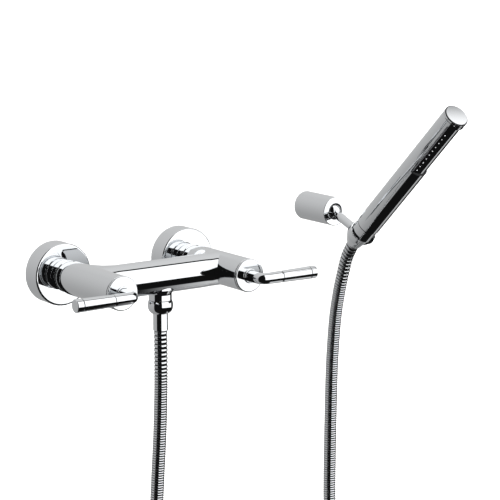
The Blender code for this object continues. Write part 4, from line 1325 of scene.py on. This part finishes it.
        # Painted shade: a near black ring round the cap's face.
        darken(cap, STICK_AXIS, (self.length - 0.75, self.length - 0.1), (11.8, 12.7))
        nut = add_piece("hose_cone_nut", self.cone_nut(), CHROME, "handset", "cone_nut")
        # Painted shade: near black rings at the nut's collar and at its shoulder.
        darken(nut, STICK_AXIS, (25.95, 26.9), (0.0, 12.5))
        darken(nut, STICK_AXIS, (9.7, 10.3), (11.0, 12.2))
        add_piece("spray_face", self.plate(), GREY_ABS, "handset", "spray_plate")
        add_piece("spray_nozzles", self.nozzles(), SILICONE, "handset", "nozzle_mat")


# --------------------------------------------------------------------------------------------- studio
@dataclass
class Studio:
    """The camera, the pale floor and the soft light.

    Attributes:
        azimuth: the camera's direction round the object, in degrees.
        elevation: its height above the horizon, in degrees.
        distance: how far it stands from the point it looks at, in metres.
        target: that point.
        lens: focal length in millimetres.
        floor_z: height of the floor.
    """

    azimuth: float = -35.48
    elevation: float = 10.77
    distance: float = 2.0
    target: Point = (0.12836, -0.060, 0.00892)
    lens: float = 136.8
    floor_z: float = -0.66

    def camera(self) -> None:
        """Stands the camera back from the target and turns it to look at it."""
        a, e = math.radians(self.azimuth), math.radians(self.elevation)
        back = Vector((math.sin(a) * math.cos(e), -math.cos(a) * math.cos(e), math.sin(e)))
        data = bpy.data.cameras.new("camera")
        data.lens = self.lens
        data.sensor_width = 36.0
        data.clip_end = 100.0
        made = bpy.data.objects.new("camera", data)
        made.location = Vector(self.target) + back * self.distance
        made.rotation_mode = "QUATERNION"
        made.rotation_quaternion = (-back).to_track_quat("-Z", "Y")
        bpy.context.scene.collection.objects.link(made)
        bpy.context.scene.camera = made

    def floor(self) -> None:
        """A wide pale floor under the object."""
        mesh = bpy.data.meshes.new("studio_floor")
        size = 40.0
        mesh.from_pydata(
            [(x * size, y * size, self.floor_z) for x, y in ((-1, -1), (1, -1), (1, 1), (-1, 1))],
            [],
            [(0, 1, 2, 3)],
        )
        paper = bpy.data.materials.new("white_paper")
        paper.use_nodes = True
        shader = paper.node_tree.nodes["Principled BSDF"]
        shader.inputs["Base Color"].default_value = linear("F6F6F6")
        shader.inputs["Roughness"].default_value = 0.9
        mesh.materials.append(paper)
        made = bpy.data.objects.new("studio_floor", mesh)
        made.visible_glossy = False
        bpy.context.scene.collection.objects.link(made)

    def sun(self) -> None:
        """Two broad soft lights, from above for the floor and from in front for the plastics."""
        for name, energy, tilt in (("overhead_light", 3.4, 20.0), ("front_light", 4.2, 84.0)):
            data = bpy.data.lights.new(name, "SUN")
            data.energy = energy
            data.angle = math.radians(70)
            made = bpy.data.objects.new(name, data)
            made.rotation_euler = (math.radians(tilt), math.radians(-12), 0.0)
            made.visible_glossy = False
            bpy.context.scene.collection.objects.link(made)

    def surroundings(self) -> None:
        """The room that the chrome mirrors: a broad soft box, black cloth round it, and a grey room.

        With the direction (x, y, z), the room behind the wall's plane is grey, lighter upwards and to
        the right, with a black cloth at x > 0.72, y < 0.58. In front of the plane everything is black
        cloth, apart from the soft box, which fills x > 0.315 y, y < -0.15 and z > -0.26. A pale card
        lies low on the right.
        """
        world = bpy.data.worlds.new("studio")
        bpy.context.scene.world = world
        world.use_nodes = True
        tree = world.node_tree
        tree.nodes.clear()
        where = add_node(tree, "ShaderNodeTexCoord").outputs["Generated"]
        split = add_node(tree, "ShaderNodeSeparateXYZ", links={0: where})
        x, y, z = split.outputs

        def math_node(operation: str, first: object, second: object) -> bpy.types.NodeSocket:
            """One Math node on two numbers or sockets."""
            settings: dict = {"operation": operation}
            links = {}
            for place, value in enumerate((first, second)):
                if isinstance(value, (int, float)):
                    settings[place] = value
                else:
                    links[place] = value
            return add_node(tree, "ShaderNodeMath", settings, links).outputs[0]

        def soft_step(value: bpy.types.NodeSocket, low: float, high: float) -> bpy.types.NodeSocket:
            """A smooth ramp from 0 at low to 1 at high."""
            settings = {
                "interpolation_type": "SMOOTHSTEP",
                "From Min": min(low, high),
                "From Max": max(low, high),
                "To Min": 0.0 if low < high else 1.0,
                "To Max": 1.0 if low < high else 0.0,
            }
            return add_node(tree, "ShaderNodeMapRange", settings, {"Value": value}).outputs[0]

        room = math_node("ADD", math_node("MULTIPLY", z, 0.20), 0.48)
        room = math_node("ADD", room, math_node("MULTIPLY", math_node("MAXIMUM", x, 0.0), 0.16))
        below = math_node("MAXIMUM", math_node("SUBTRACT", -0.22, z), 0.0)
        below = math_node("MULTIPLY", below, soft_step(x, 0.0, 0.4))
        room = math_node("SUBTRACT", room, math_node("MULTIPLY", below, 0.30))
        post = math_node("MULTIPLY", soft_step(x, 0.70, 0.74), soft_step(y, 0.60, 0.56))
        room = math_node("MAXIMUM", math_node("SUBTRACT", room, post), 0.005)
        low = math_node("MULTIPLY", math_node("MINIMUM", z, 0.0), 0.14)
        in_front = soft_step(math_node("ADD", y, low), 0.01, -0.01)
        box_side = soft_step(math_node("SUBTRACT", x, math_node("MULTIPLY", y, 0.315)), -0.01, 0.02)
        box_low = soft_step(z, -0.275, -0.250)
        box_back = soft_step(y, -0.14, -0.16)
        soft_box = math_node("MULTIPLY", math_node("MULTIPLY", box_side, box_low), box_back)
        front = math_node("ADD", math_node("MULTIPLY", soft_box, 1.35), 0.006)
        behind = math_node("MULTIPLY", room, math_node("SUBTRACT", 1.0, in_front))
        light = math_node("ADD", behind, math_node("MULTIPLY", front, in_front))
        card = math_node("MULTIPLY", soft_step(x, 0.515, 0.555), soft_step(z, -0.755, -0.785))
        card = math_node("MULTIPLY", card, soft_step(y, 0.36, 0.30))
        light = math_node("MAXIMUM", light, math_node("MULTIPLY", card, 0.60))
        to_camera = add_node(tree, "ShaderNodeLightPath").outputs["Is Camera Ray"]
        plain = {"data_type": "FLOAT", "B": 1.0}
        seen = add_node(tree, "ShaderNodeMix", plain, {"Factor": to_camera, "A": light})
        shown = add_node(tree, "ShaderNodeBackground", {"Strength": 1.0}, {"Color": seen.outputs[0]})
        add_node(tree, "ShaderNodeOutputWorld", links={"Surface": shown.outputs[0]})

    def build(self) -> None:
        """Sets up the studio."""
        bpy.context.scene.view_settings.view_transform = "Standard"
        self.camera()
        self.floor()
        self.sun()
        self.surroundings()


def dress_frame() -> None:
    """Gives every carried-over solid the finish of its slot in the record."""
    slots = {part["node"]: part["material_slot"] for part in frame["record"]["subparts"]}
    for name, node in frame["nodes"].items():
        node.data.materials.clear()
        node.data.materials.append(FINISHES[slots[name]].build())


def main() -> None:
    """Builds the whole model in order: camera, hose, mixer, handles, holder and handset."""
    logging.basicConfig(level=logging.INFO, format="%(message)s")
    Studio().build()
    Hose().build()
    dress_frame()
    for side in Side:
        WallInlet(side).build()
        Handle(side).build()
    MixerBody().build()
    HoseConnection().build()
    WallHolder().build()
    Handset().build()


if __name__ == "__main__":
    main()
